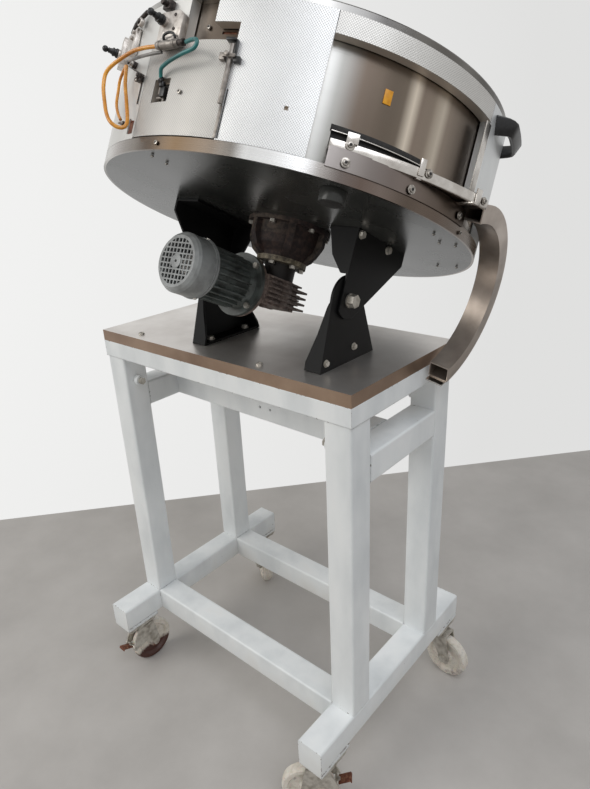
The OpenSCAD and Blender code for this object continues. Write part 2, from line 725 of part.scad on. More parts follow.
// ---- hoses: smooth curves through points given as [angle, height, distance off the skin] ----
function spot(p) = [(drum_radius + p[2]) * cos(p[0]), (drum_radius + p[2]) * sin(p[0]), p[1]];
function bend(a, b, c, d, t) = 0.5 * (2 * b + (c - a) * t + (2 * a - 5 * b + 4 * c - d) * t * t
    + (3 * b - a - 3 * c + d) * t * t * t);
function route(p, k) = let (q = [for (v = p) spot(v)], n = len(q))
    [for (i = [0:n - 2], j = [0:k - 1])
        bend(q[max(i - 1, 0)], q[i], q[i + 1], q[min(i + 2, n - 1)], j / k), q[n - 1]];
function unit(v) = v / norm(v);
module hose(p, d, k = 2, sides = 8) {
    c = route(p, k);
    n = len(c);
    dirs = [for (i = [0:n - 1]) unit(c[min(i + 1, n - 1)] - c[max(i - 1, 0)])];
    rings = [for (i = [0:n - 1])
        let (side = unit(cross(dirs[i], [-0.09, -1, 0.02])), up = cross(side, dirs[i]))
        for (j = [0:sides - 1])
            c[i] + d / 2 * (cos(j * 360 / sides) * side + sin(j * 360 / sides) * up)];
    polyhedron(points = rings, faces = concat(
        [[for (j = [0:sides - 1]) j]],
        [for (i = [0:n - 2], j = [0:sides - 1])
            let (a = i * sides + j, b = i * sides + (j + 1) % sides) [a, a + sides, b + sides, b]],
        [[for (j = [sides - 1:-1:0]) (n - 1) * sides + j]]));
}
amber_route = [[-90.5, 148, 16], [-95, 147, 21], [-99, 141, 28], [-104, 117, 42],
    [-104, 91, 44], [-100, 47, 38], [-98, 30, 28], [-96.8, 25, 16], [-97.6, 48, 12],
    [-101, 84, 12], [-105, 112, 12], [-104.8, 137, 15]];
link_route = [[-105.6, 138, 14], [-108, 120, 14], [-108.6, 102, 12], [-107.5, 80, 12],
    [-105, 62, 11], [-103, 50.5, 9]];
teal_route = [[-81.2, 148, 17], [-78.4, 147, 24], [-77, 141, 26], [-79, 134, 22],
    [-84, 125, 16], [-88.5, 118, 11], [-89.3, 107, 4]];
grey_route = [[-89.6, 141.5, 10.5], [-93, 139, 15], [-98, 139, 16.5], [-103.3, 142.5, 15]];
module hose_amber() { color("orange") on_drum() hose(amber_route, 6); }
module hose_link() { color("orange") on_drum() hose(link_route, 5); }
module hose_teal() { color("teal") on_drum() hose(teal_route, 6); }
module hose_grey() { color("gray") on_drum() hose(grey_route, 5); }

// ---- chute ----
chute_top_z = world_z(6, lane_level + 9.4);
chute_low_z = table_z - chute_drop;
chute_low_x = table_length / 2 + chute_gap;
chute_top_x = drum_x + wall_radius + 9;
chute_lean = atan((chute_top_x - chute_low_x) / (chute_top_z - table_z));
chute_r = (chute_top_z - chute_low_z) / 2 / cos(chute_lean);
chute_mid_z = (chute_top_z + chute_low_z) / 2;
chute_mid_x = chute_low_x + (chute_mid_z - table_z) * tan(chute_lean) + chute_width / 2;
mouth_angle = 10.4;
module on_chute() {
    translate([chute_mid_x, world_y(6, lane_level + 9.4), chute_mid_z])
        rotate([0, chute_lean, 0]) rotate([0, 90, 0]) children();
}
module chute() {
    color("silver") on_chute() {
        // rectangular duct bent through half a turn
        rotate([0, 0, mouth_angle]) rotate_extrude(angle = 180 - mouth_angle, $fn = 120)
            translate([chute_r - chute_depth, -chute_width / 2]) difference() {
                square([chute_depth, chute_width]);
                translate([chute_sheet, chute_sheet])
                    square([chute_depth - 2 * chute_sheet, chute_width - 2 * chute_sheet]);
            }
    }
}
module chute_foot() {
    // lip that carries on the duct's floor past the mouth
    color("silver") on_chute() rotate([0, 0, mouth_angle - 5])
        rotate_extrude(angle = 9, $fn = 120)
            translate([chute_r + seat, -chute_width / 2 + 3]) square([3, chute_width - 6]);
}

// ---- underside ----
module base_post() {
    color("dimgray") on_drum() rotate([0, 0, -35.5]) translate([drum_radius * 0.693, 0, 0]) mirror([0, 0, 1])
        rotate_extrude($fn = 48)
            polygon([[0, 0], [31, 0], [31, 30], [28, 35], [0, 35]]);
}
// Upper bracket about the tilt axis: m across, n along the drum axis
arm_fold = -24.5;
module arm_outline() {
    difference() {
        union() {
            circle(arm_end_r, $fn = 64);
            polygon([[arm_fold, 0], [arm_fold, pivot_to_disc], [arm_fold + arm_width, pivot_to_disc],
                [arm_fold + arm_width, pivot_to_disc - 24], [arm_end_r * 0.62, -arm_end_r * 0.785]]);
        }
        translate([arm_fold - 60, -60]) square([60, 200]);
    }
}
module arm(dir) {
    // plate with its outer face at x = 0, folded towards dir along the straight edge
    rotate([90, 0, 90]) translate([0, 0, dir < 0 ? -bracket_sheet : 0])
        linear_extrude(bracket_sheet) difference() {
            arm_outline();
            circle(d = pivot_d + 0.1, $fn = 48);
        }
    // front flange, starting above the lower bracket's round top
    translate([0, arm_fold + bracket_sheet, 0]) mirror([dir < 0 ? 1 : 0, 0, 0]) rotate([90, 0, 0])
        linear_extrude(bracket_sheet)
            polygon([[0, 44], [18, 44], [arm_flange * 0.7, 75], [arm_flange, pivot_to_disc],
                [0, pivot_to_disc]]);
    // top flange under the drum
    translate([dir < 0 ? -arm_flange : 0, arm_fold, pivot_to_disc - bracket_sheet])
        cube([arm_flange, arm_width, bracket_sheet]);
}
module bracket_upper_right() {
    color([0.1, 0.1, 0.1]) on_pivot() translate([bracket_right, 0, 0]) arm(-1);
}
module bracket_upper_left() {
    // the same part, turned half round about the drum's axis
    color([0.1, 0.1, 0.1]) on_pivot() translate([-bracket_left, 0, 0]) rotate([0, 0, 180]) arm(-1);
}
module pivot_bolts() {
    color("silver") on_pivot() {
        for (s = [-1, 1]) mirror([s < 0 ? 1 : 0, 0, 0]) {
            x = s > 0 ? bracket_right : bracket_left;
            translate([x - 2 * bracket_sheet - seat - 14, 0, 0]) rotate([0, 90, 0])
                cylinder(d = pivot_d, h = 2 * bracket_sheet + seat + 20, $fn = 48);
            translate([x + eps, 0, 0]) rotate([0, 90, 0]) hex_screw(pivot_d * 0.9, 12, 13, 3);
            // nut on the inside
            translate([x - 2 * bracket_sheet - 2 * seat - 13, 0, 0]) rotate([0, 90, 0])
                cylinder(d = pivot_d * 1.6, h = 12, $fn = 6);
        }
    }
}

// ---- drive ----
motor_x = -centre_distance;
module on_motor() {
    // Z points along the motor away from the gearbox
    on_drum() translate([motor_x, 0, -motor_depth]) rotate([90, 0, 0]) children();
}
module bell_housing() {
    color([0.35, 0.27, 0.22]) on_drum() difference() {
        union() {
            mirror([0, 0, 1]) rotate_extrude($fn = 96)
                polygon([[disc_shaft / 2 + bearing_wall, 0], [82, 0], [82, 8], [69, 8], [68, 30],
                    [64, 46], [52, 61], [50, 68], [disc_shaft / 2 + bearing_wall, 68]]);
            // ribs between the recessed panels
            for (a = [0:60:300]) rotate([0, 0, a + 15]) mirror([0, 0, 1])
                rotate([90, 0, 0]) translate([0, 0, -7]) linear_extrude(14)
                    polygon([[60, 5], [80, 5], [80, 30], [77, 38], [68, 55], [54, 66], [50, 68],
                        [44, 60]]);
            // bearing sleeve up through the base plate
            cylinder(r = disc_shaft / 2 + bearing_wall, h = base_thickness + 4, $fn = 48);
            mirror([0, 0, 1]) cylinder(r = disc_shaft / 2 + bearing_wall + 1, h = 60, $fn = 48);
        }
        translate([0, 0, -80]) cylinder(d = disc_shaft + 2 * running_gap, h = 120, $fn = 48);
    }
}
module bell_ring() {
    color("silver") on_drum() mirror([0, 0, 1]) difference() {
        union() {
            translate([0, 0, 68]) cylinder(r = 50, h = 10, $fn = 64);
            translate([0, 0, 78 - eps]) cylinder(r = 31, h = gear_top - 78 + eps, $fn = 48);
        }
        translate([0, 0, 60]) cylinder(d = disc_shaft + 2 * running_gap, h = 80, $fn = 48);
    }
}
gear_top = 108;
gear_low = 163;
gear_front = 58;
module gearbox() {
    h = gear_low - gear_top;
    color([0.35, 0.27, 0.22]) on_drum() translate([0, 0, -gear_low]) difference() {
        union() {
            // wheel case with rounded corners
            translate([0, 0, 0]) linear_extrude(h) {
                circle(35, $fn = 64);
                translate([-36, -gear_front]) square([66, gear_front + 33]);
            }
            // ribs along the right face
            for (i = [0:5])
                translate([20, -gear_front + 4, 5 + i * 9]) cube([17.5, gear_front + 32, 3.2]);
            // fins past the rear end
            for (i = [0:3])
                translate([-26, 30, 8 + i * 12]) cube([52, 41, 4]);
            // worm case on the left
            translate([motor_x, 33, gear_low - motor_depth]) rotate([90, 0, 0])
                cylinder(r = 27, h = gear_front + 33, $fn = 48);
            // mounting flange for the motor
            translate([motor_x, -gear_front, gear_low - motor_depth]) rotate([90, 0, 0])
                cylinder(r = flange_radius - 1, h = 8, $fn = 72);
            // drain plug
            translate([6, -30, 0]) mirror([0, 0, 1]) cylinder(d = 15, h = 6, $fn = 6);
        }
        // bore for the output shaft and room for the worm wheel
        translate([0, 0, gear_low - motor_depth - 12]) cylinder(r = worm_wheel_r + 2, h = 24, $fn = 64);
        translate([0, 0, 8]) cylinder(d = disc_shaft + 2 * running_gap, h = 80, $fn = 48);
        // bore for the worm and its shaft
        translate([motor_x, 26, gear_low - motor_depth]) rotate([90, 0, 0])
            cylinder(r = worm_r + 2, h = 52, $fn = 48);
        translate([motor_x, 30, gear_low - motor_depth]) rotate([90, 0, 0])
            cylinder(d = shaft_diameter + 2 * running_gap, h = 120, $fn = 48);
    }
}
worm_r = 9;
worm_wheel_r = centre_distance - worm_r - 0.5;
flange_at = 66;
cowl_at = 178;
cowl_end = 231;
module motor_body() {
    color([0.35, 0.38, 0.37]) on_motor() difference() {
        union() {
            translate([0, 0, flange_at]) cylinder(r = flange_radius, h = 8, $fn = 72);
            translate([0, 0, flange_at + 8 - eps]) cylinder(r1 = 48, r2 = motor_radius - 7, h = 12, $fn = 64);
            translate([0, 0, flange_at + 8]) cylinder(r = motor_radius - 8, h = cowl_at - flange_at - 8, $fn = 64);
            // cooling fins along the body
            for (a = [0:15:345])
                rotate([0, 0, a]) translate([motor_radius - 10, -1.3, flange_at + 22])
                    cube([10, 2.6, cowl_at - flange_at - 24]);
            // flat pads under the terminal box and the feet
            translate([-motor_radius, -26, flange_at + 30]) cube([14, 52, 54]);
            translate([-14, -motor_radius + 1, flange_at + 26]) cube([28, 12, 50]);
            translate([0, 0, cowl_at - 6]) cylinder(r = motor_radius - 1, h = 5.6, $fn = 64);
            // spigot that carries the cowl
            translate([0, 0, cowl_at - 1]) cylinder(r = cowl_radius - 3 - seat, h = 5, $fn = 64);
        }
        translate([0, 0, flange_at - 1]) cylinder(d = shaft_diameter + 2 * running_gap, h = 130, $fn = 48);
    }
}
module motor_cowl() {
    color("gray") on_motor() {
        difference() {
            translate([0, 0, cowl_at]) rotate_extrude($fn = 72)
                polygon([[0, 0], [cowl_radius, 0], [cowl_radius + 1, 2], [cowl_radius, 4],
                    [cowl_radius, 43], [cowl_radius - 3, 48], [cowl_radius - 8, cowl_end - cowl_at],
                    [0, cowl_end - cowl_at]]);
            // room for the fan
            translate([0, 0, cowl_at - 1]) cylinder(r = cowl_radius - 3, h = 42, $fn = 72);
            translate([0, 0, cowl_at + 35]) cylinder(r = cowl_radius - 10, h = 15.5, $fn = 72);
            // air inlet grid
            translate([0, 0, cowl_at + 48]) linear_extrude(20) intersection() {
                circle(cowl_radius - 13, $fn = 64);
                for (i = [-4:4], j = [-4:4]) translate([i * 9.2 - 3.3, j * 9.2 - 3.3]) square(6.6);
            }
        }
    }
}
module terminal_box() {
    color("gray") on_motor() rotate([0, 0, 180]) translate([motor_radius + seat, -34, flange_at + 24]) {
        cube([30, 68, 66]);
        translate([30 - eps, 2, 2]) cube([12, 64, 62]);
        translate([18, -12, 33]) rotate([-90, 0, 0]) cylinder(d = 20, h = 12 + eps, $fn = 32);
    }
}
module hex_bolts() {
    color("silver") {
        // upper brackets to the drum's skirt
        on_pivot() for (m = [-13.5, 83]) {
            translate([bracket_right, m, 117]) rotate([0, 90, 0]) hex_screw(8, 5, 8, 1.5);
            translate([-bracket_left, -m, 117]) rotate([0, -90, 0]) hex_screw(8, 5, 8, 1.5);
        }
        // bell to the drum and to its ring
        on_drum() {
            for (a = [45:60:345]) rotate([0, 0, a]) {
                translate([75.5, 0, -8]) mirror([0, 0, 1]) cylinder(d = 11, h = 6, $fn = 6);
                translate([41, 0, -78]) mirror([0, 0, 1]) cylinder(d = 12, h = 6, $fn = 6);
            }
        }
        // motor flange
        on_motor() for (a = [45:90:315]) rotate([0, 0, a])
            translate([54, 0, flange_at + 8]) cylinder(d = 12, h = 6, $fn = 6);
    }
}

// ---- turning parts ----
module feed_disc() {
    color("silver") on_drum() difference() {
        // dished disc with a flat rim level with the outlet ledge
        rotate_extrude($fn = 180)
            polygon([[0, 26], [40, 24], [wall_radius - 60, 40], [wall_radius - wall_sheet - 1.5, 43],
                [wall_radius - wall_sheet - 1.5, 49.5], [wall_radius - 50, 49.5],
                [wall_radius - 62, 46], [70, 31], [46, 31], [42, 46], [30, 54], [0, 56]]);
        // seat of the shaft
        translate([0, 0, 10]) cylinder(d = disc_shaft, h = 30, $fn = 48);
    }
}
module drive_shaft() {
    color("dimgray") on_drum() {
        translate([0, 0, -gear_low + 9]) cylinder(d = disc_shaft, h = gear_low - 9 + 40 - seat, $fn = 48);
        // worm wheel blank
        translate([0, 0, -motor_depth - 10]) cylinder(r = worm_wheel_r, h = 20, $fn = 64);
    }
}
module motor_rotor() {
    color("dimgray") on_motor() {
        translate([0, 0, -29]) cylinder(d = shaft_diameter, h = cowl_at + 29 + 28, $fn = 48);
        translate([0, 0, -24]) cylinder(r = worm_r, h = 48, $fn = 48);
        // fan inside the cowl
        translate([0, 0, cowl_at + 8]) {
            cylinder(r = 18, h = 20, $fn = 40);
            for (a = [0:45:315]) rotate([0, 0, a]) translate([16, -1, 0]) cube([28, 2, 18]);
        }
    }
}

stand_frame();
clamp_bolts();
castor_plates();
castor_fork_fl();
castor_fork_fr();
castor_fork_rl();
castor_fork_rr();
castor_wheel_fl();
castor_wheel_fr();
castor_wheel_rl();
castor_wheel_rr();
brake_pedal_fl();
brake_pedal_fr();
lift_frame();
table_top();
bracket_lower_left();
bracket_lower_right();
table_screws();
base_disc();
base_band();
inner_wall();
top_rim();
cover_main();
cover_door();
cover_left();
cover_strip();
cover_right();
covers_rear();
lower_plate();
outlet_ledge();
guide_rail();
rail_clamps();
socket_screws();
handle();
door_hinge();
hose_manifold();
hose_fittings();
door_elbow();
hose_amber();
hose_link();
hose_teal();
hose_grey();
chute();
chute_foot();
base_post();
bracket_upper_left();
bracket_upper_right();
hex_bolts();
pivot_bolts();
bell_housing();
bell_ring();
gearbox();
motor_body();
motor_cowl();
terminal_box();
knob_near();
knob_far();
feed_disc();
drive_shaft();
motor_rotor();
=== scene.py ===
import bpy
from math import radians, sin, cos, pi
from mathutils import Vector, Matrix, Euler


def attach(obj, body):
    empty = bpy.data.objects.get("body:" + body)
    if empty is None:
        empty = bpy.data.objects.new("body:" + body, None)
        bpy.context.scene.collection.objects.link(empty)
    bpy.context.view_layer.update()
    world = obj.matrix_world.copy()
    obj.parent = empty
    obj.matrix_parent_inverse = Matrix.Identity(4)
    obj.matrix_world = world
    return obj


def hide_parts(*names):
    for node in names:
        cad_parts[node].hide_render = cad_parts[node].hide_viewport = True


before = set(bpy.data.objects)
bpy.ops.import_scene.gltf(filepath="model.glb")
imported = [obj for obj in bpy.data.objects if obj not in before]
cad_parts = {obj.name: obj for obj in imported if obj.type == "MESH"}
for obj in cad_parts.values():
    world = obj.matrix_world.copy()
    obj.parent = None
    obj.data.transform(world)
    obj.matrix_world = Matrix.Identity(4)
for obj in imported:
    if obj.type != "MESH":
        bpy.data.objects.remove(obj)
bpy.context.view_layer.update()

# ---- Camera ----
# It stands at the front right corner, a little above the drum's rim, and looks down at the machine.
# The drum's top and the front castor run out of its view.
eye = bpy.data.objects.new("camera", bpy.data.cameras.new("camera"))
bpy.context.scene.collection.objects.link(eye)
to_right = Vector((0.76203, 0.64607, -0.04355))
down = Vector((0.21616, -0.31721, -0.92339))
ahead = Vector((-0.61039, 0.69424, -0.38138))
turned = Matrix((to_right, -down, -ahead)).transposed().to_4x4()
eye.matrix_world = Matrix.Translation((0.89725, -0.93384, 1.33769)) @ turned
eye.data.sensor_fit = "VERTICAL"
eye.data.sensor_height = 36
eye.data.lens = 27.858
eye.data.clip_start = 0.02
bpy.context.scene.camera = eye

# ---- Air hoses on the left covers ----
# Soft polyurethane tubes between the manifold, the fittings and the door's elbow, with no free ends.
# The amber ones are clear and show a bright line inside; the teal and grey ones are opaque.
lean = radians(25.3)
pivot = (0.080, -0.050, 1.069)
base_rise = 0.127
drum_place = Matrix.Translation(pivot) @ Matrix.Rotation(-lean, 4, "X") @ Matrix.Translation((0, 0, base_rise))


def on_drum(angle, height, radius):
    """A point given by its angle round the drum, its height and its distance from the axis, in mm."""
    return drum_place @ (Vector((radius * cos(radians(angle)), radius * sin(radians(angle)), height)) / 1000)


def linear(code):
    """An sRGB hex colour as the linear RGBA that a shader takes."""
    parts = [int(code[i:i + 2], 16) / 255 for i in (1, 3, 5)]
    return [c / 12.92 if c <= 0.04045 else ((c + 0.055) / 1.055) ** 2.4 for c in parts] + [1]


def plug(socket, value):
    """Puts a value on an input, or links it to a socket or to the output that a node has in use."""
    if isinstance(value, bpy.types.Node):
        value = next(s for s in value.outputs if s.enabled)
    if isinstance(value, bpy.types.NodeSocket):
        socket.id_data.links.new(value, socket)
    else:
        socket.default_value = value


def add(tree, kind, links={}, stops=(), **settings):
    """Adds one node: its settings, its inputs by name or number, and a colour ramp's (place, hex colour) stops."""
    made = tree.nodes.new("ShaderNode" + kind)
    for name, value in settings.items():
        setattr(made, name, value)
    for name, value in links.items():
        numbered = isinstance(name, int)
        plug(made.inputs[name] if numbered else next(s for s in made.inputs if s.name == name and s.enabled), value)
    if stops:
        band = made.color_ramp.elements
        while len(band) < len(stops):
            band.new(0.5)
        for element, (place, code) in zip(band, stops):
            element.position = place
            element.color = linear(code)
    return made


def wire(shader, **sockets):
    """Fills a shader's inputs with values or nodes; an underscore stands for a space in a name."""
    for name, value in sockets.items():
        plug(shader.inputs[name.replace("_", " ")], value)


def finish(name, rough, metal=0.0, **sockets):
    """A new material with its shader: (material, tree, shader)."""
    made = bpy.data.materials.new(name)
    made.use_nodes = True
    shader = made.node_tree.nodes["Principled BSDF"]
    wire(shader, Roughness=rough, Metallic=metal, **sockets)
    return made, made.node_tree, shader


def hose_finish(name, dark, light, rough, clear):
    """Extruded polyurethane: glossy, a little uneven in tone along its length."""
    made, tree, shader = finish(name, rough, Coat_Weight=0.35, Coat_Roughness=0.08,
        Transmission_Weight=clear, IOR=1.5)
    where = add(tree, "TexCoord").outputs["Object"]
    # tone drifts over about 30 mm
    drift = add(tree, "TexNoise", {"Vector": where, "Scale": 34.0, "Detail": 2.0})
    wire(shader, Base_Color=add(tree, "ValToRGB", {"Fac": drift}, stops=[(0.3, dark), (0.7, light)]))
    # dust and finger grease
    film = add(tree, "TexNoise", {"Vector": where, "Scale": 180.0, "Detail": 3.0})
    wire(shader, Roughness=add(tree, "MapRange", {"Value": film, "To Min": rough * 0.7, "To Max": rough * 1.6}))
    return made


amber_tube = hose_finish("amber polyurethane", "#BF7310", "#EDA531", 0.22, 0.12)
teal_tube = hose_finish("teal polyurethane", "#0B4F4F", "#17807E", 0.28, 0.0)
grey_tube = hose_finish("grey polyurethane", "#5C5957", "#8A8784", 0.36, 0.0)


def tube(name, spots, width, look, body="drum"):
    """A round rod or tube on a smooth curve through points given as (angle, height, radius): (piece, its points)."""
    q = [on_drum(*s) for s in spots]
    line = []
    for i in range(len(q) - 1):
        a, b, c, d = q[max(i - 1, 0)], q[i], q[i + 1], q[min(i + 2, len(q) - 1)]
        for j in range(6):
            t = j / 6
            line.append(0.5 * (2 * b + (c - a) * t + (2 * a - 5 * b + 4 * c - d) * t * t
                + (3 * b - a - 3 * c + d) * t ** 3))
    line.append(q[-1])
    curve = bpy.data.curves.new(name, "CURVE")
    curve.dimensions = "3D"
    curve.bevel_depth = width / 2
    curve.bevel_resolution = 3
    curve.use_fill_caps = True
    spline = curve.splines.new("POLY")
    spline.points.add(len(line) - 1)
    for point, place in zip(spline.points, line):
        point.co = (*place, 1)
    spline.use_smooth = True
    made = bpy.data.objects.new(name, curve)
    bpy.context.scene.collection.objects.link(made)
    curve.materials.append(look)
    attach(made, body)
    return made, line


def hose(name, node, spots, width, look):
    """A tube that stands for a CAD hose."""
    made, line = tube(name, spots, width, look)
    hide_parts(node)
    return made


for name, node, width, look, slot, spots in (
    ("tube_amber", "hose_amber", 0.006, amber_tube, "amber_hose", [
        (-90.5, 148, 376), (-95, 147, 381), (-99, 141, 388), (-104, 117, 402), (-104, 91, 404), (-102, 60, 400),
        (-100, 42, 398.5), (-98.6, 31, 394), (-97.4, 26.5, 385), (-97, 31, 376), (-97.6, 42, 372), (-99, 60, 372),
        (-101.4, 84, 372), (-104, 108, 372), (-104.8, 137, 375)]),
    ("tube_link", "hose_link", 0.005, amber_tube, "amber_hose", [
        (-105.6, 138, 374), (-108, 120, 374), (-108.6, 102, 372), (-107.5, 80, 372), (-105, 62, 371),
        (-103, 50.5, 369)]),
    ("tube_teal", "hose_teal", 0.006, teal_tube, "teal_hose", [
        (-81.2, 148, 377), (-79.6, 148.3, 380.5), (-78.2, 148, 383), (-77.4, 145.8, 384.5), (-77.1, 141.2, 385),
        (-77.4, 136.6, 384.5), (-78.2, 134, 383), (-81, 130, 380), (-84.4, 125, 376), (-87, 121, 372.5),
        (-88.6, 116, 370), (-89.3, 107, 364)]),
    ("tube_grey", "hose_grey", 0.005, grey_tube, "grey_hose", [
        (-89.6, 141.5, 370.5), (-93, 139, 375), (-98, 139, 376.5), (-103.3, 142.5, 375)])):
    hose(name, node, spots, width, look)


# ---- Stand ----
# Square steel tube, welded, with a castor plate under each foot, sprayed satin white.
# The paint is chipped and dusty at the feet, and puckers over the welds.
def dress(look, *nodes):
    """Gives a finish to solids that keep their own shape."""
    for n in nodes:
        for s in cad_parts[n].material_slots:
            s.material = look


white_paint, tree, shader = finish("white sprayed steel", 0.38)
where = add(tree, "TexCoord").outputs["Object"]
flat = add(tree, "NewGeometry")
rounded = add(tree, "Bevel", {"Radius": 0.0035}, samples=6)
# how far an edge is from flat
bent = add(tree, "VectorMath", {0: flat.outputs["True Normal"], 1: rounded}, operation="DOT_PRODUCT")
edge = add(tree, "MapRange", {"Value": bent, "From Min": 0.995, "From Max": 0.86})
height = add(tree, "SeparateXYZ", {"Vector": where}).outputs["Z"]
# specks of 2-6 mm, most of them on edges and near the floor
speck = add(tree, "TexNoise", {"Vector": where, "Scale": 120.0, "Detail": 5.0, "Roughness": 0.65})
low = add(tree, "MapRange", {"Value": height, "From Min": 0.30, "From Max": 0.14})
bias = add(tree, "Math", {0: edge, 1: 0.16}, operation="MULTIPLY")
bias = add(tree, "Math", {0: low, 1: 0.045, 2: bias}, operation="MULTIPLY_ADD")
worn = add(tree, "Math", {0: speck, 1: bias}, operation="ADD")
chip = add(tree, "MapRange", {"Value": worn, "From Min": 0.735, "From Max": 0.76})
# faint dirt that hangs in clouds of 80 mm, and runs downwards
runs = add(tree, "Mapping", {"Vector": where, "Scale": (1, 1, 0.4)})
cloud = add(tree, "TexNoise", {"Vector": runs, "Scale": 12.0, "Detail": 4.0})
paint = add(tree, "ValToRGB", {"Fac": cloud}, stops=[(0.3, "#DCE0E2"), (0.55, "#EEF1F2"), (0.75, "#F4F6F6")])
dirt = add(tree, "Math", {0: low, 1: cloud}, operation="MULTIPLY")
film = add(tree, "MapRange", {"Value": dirt, "From Min": 0.35, "From Max": 0.75, "To Max": 0.45})
dirty = add(tree, "Mix", {"Factor": film, "A": paint, "B": linear("#A79C8C")}, data_type="RGBA")
wire(shader, Base_Color=add(tree, "Mix", {"Factor": chip, "A": dirty, "B": linear("#6E6259")}, data_type="RGBA"))
# orange peel of about 1.5 mm, lower where the paint has gone
peel = add(tree, "TexNoise", {"Vector": where, "Scale": 420.0, "Detail": 2.0})
shallow = add(tree, "Math", {0: peel, 1: 0.12}, operation="MULTIPLY")
relief = add(tree, "Math", {0: chip, 1: -0.8, 2: shallow}, operation="MULTIPLY_ADD")
wire(shader, Normal=add(tree, "Bump", {"Height": relief, "Distance": 0.0006, "Strength": 0.5, "Normal": rounded}))
dress(white_paint, "stand_frame", "lift_frame")

# ---- Castors ----
# Pressed zinc forks on ball races, cream nylon wheels with a groove, and a rusty brake pedal on the front ones.
# They have run over dirty floors: the treads are grey, and the front left one has rusted.
zinc, tree, shader = finish("dull zinc plate", 0.42, 0.7)
where = add(tree, "TexCoord").outputs["Object"]
# spangle and stain of 10-20 mm
stain = add(tree, "TexNoise", {"Vector": where, "Scale": 70.0, "Detail": 4.0})
clean = add(tree, "ValToRGB", {"Fac": stain}, stops=[(0.3, "#9C968C"), (0.6, "#CFCBC3")])
xyz = add(tree, "SeparateXYZ", {"Vector": where})
near_left = add(tree, "MapRange", {"Value": xyz.outputs["X"], "From Min": -0.22, "From Max": -0.30})
near_floor = add(tree, "MapRange", {"Value": xyz.outputs["Z"], "From Min": 0.062, "From Max": 0.045})
near_front = add(tree, "MapRange", {"Value": xyz.outputs["Y"], "From Min": -0.15, "From Max": -0.20})
rusty = add(tree, "Math", {0: near_left, 1: near_floor}, operation="MULTIPLY")
rusty = add(tree, "Math", {0: rusty, 1: near_front}, operation="MULTIPLY")
patch = add(tree, "TexNoise", {"Vector": where, "Scale": 90.0, "Detail": 6.0, "Roughness": 0.7})
patchy = add(tree, "MapRange", {"Value": patch, "From Min": 0.38, "From Max": 0.52})
rust_mask = add(tree, "Math", {0: rusty, 1: patchy}, operation="MULTIPLY")
rust_tone = add(tree, "ValToRGB", {"Fac": patch}, stops=[(0.35, "#3B211A"), (0.6, "#7A4630")])
wire(shader,
    Base_Color=add(tree, "Mix", {"Factor": rust_mask, "A": clean, "B": rust_tone}, data_type="RGBA"),
    Metallic=add(tree, "MapRange", {"Value": rust_mask, "To Min": 0.7, "To Max": 0.0}),
    Roughness=add(tree, "MapRange", {"Value": stain, "To Min": 0.30, "To Max": 0.60}),
    Normal=add(tree, "Bump", {"Height": patch, "Distance": 0.0006, "Strength": 0.35}))
dress(zinc, "castor_plates", "castor_fork_fl", "castor_fork_fr", "castor_fork_rl", "castor_fork_rr",
    "clamp_bolts", "table_screws", "hex_bolts", "pivot_bolts")


def wheel_finish(name, dirt):
    """Cream nylon: waxy, grey at the tread, with brown dirt in the groove and round the hub."""
    made, tree, shader = finish(name, 0.45, Subsurface_Weight=0.08, Subsurface_Scale=0.004)
    where = add(tree, "TexCoord").outputs["Object"]
    smear = add(tree, "TexNoise", {"Vector": where, "Scale": 60.0, "Detail": 5.0, "Roughness": 0.65})
    level = add(tree, "SeparateXYZ", {"Vector": where}).outputs["Z"]
    low = add(tree, "MapRange", {"Value": level, "From Min": 0.05, "From Max": 0.03, "To Max": dirt})
    grime = add(tree, "Math", {0: smear, 1: low}, operation="ADD")
    mask = add(tree, "MapRange", {"Value": grime, "From Min": 0.55, "From Max": 0.85})
    body = add(tree, "ValToRGB", {"Fac": smear}, stops=[(0.3, "#CBC3B4"), (0.6, "#EAE4DA")])
    wire(shader,
        Base_Color=add(tree, "Mix", {"Factor": mask, "A": body, "B": linear("#4A2A22")}, data_type="RGBA"),
        Normal=add(tree, "Bump", {"Height": smear, "Distance": 0.0005, "Strength": 0.4}))
    return made


dress(wheel_finish("cream nylon", 0.08), "castor_wheel_fr", "castor_wheel_rl", "castor_wheel_rr")
dress(wheel_finish("cream nylon, rust-stained", 0.62), "castor_wheel_fl")

# scaly rust: matt, dark to orange in crumbs of 7 mm; the same finish serves for dark strips that are painted shade
rusty_steel, tree, shader = finish("rusted sheet steel", 0.75)
where = add(tree, "TexCoord").outputs["Object"]
crust = add(tree, "TexNoise", {"Vector": where, "Scale": 140.0, "Detail": 6.0, "Roughness": 0.7})
wire(shader,
    Base_Color=add(tree, "ValToRGB", {"Fac": crust}, stops=[(0.3, "#2E1B16"), (0.5, "#6B3A27"), (0.7, "#8E6A50")]),
    Normal=add(tree, "Bump", {"Height": crust, "Distance": 0.0008, "Strength": 0.6}))


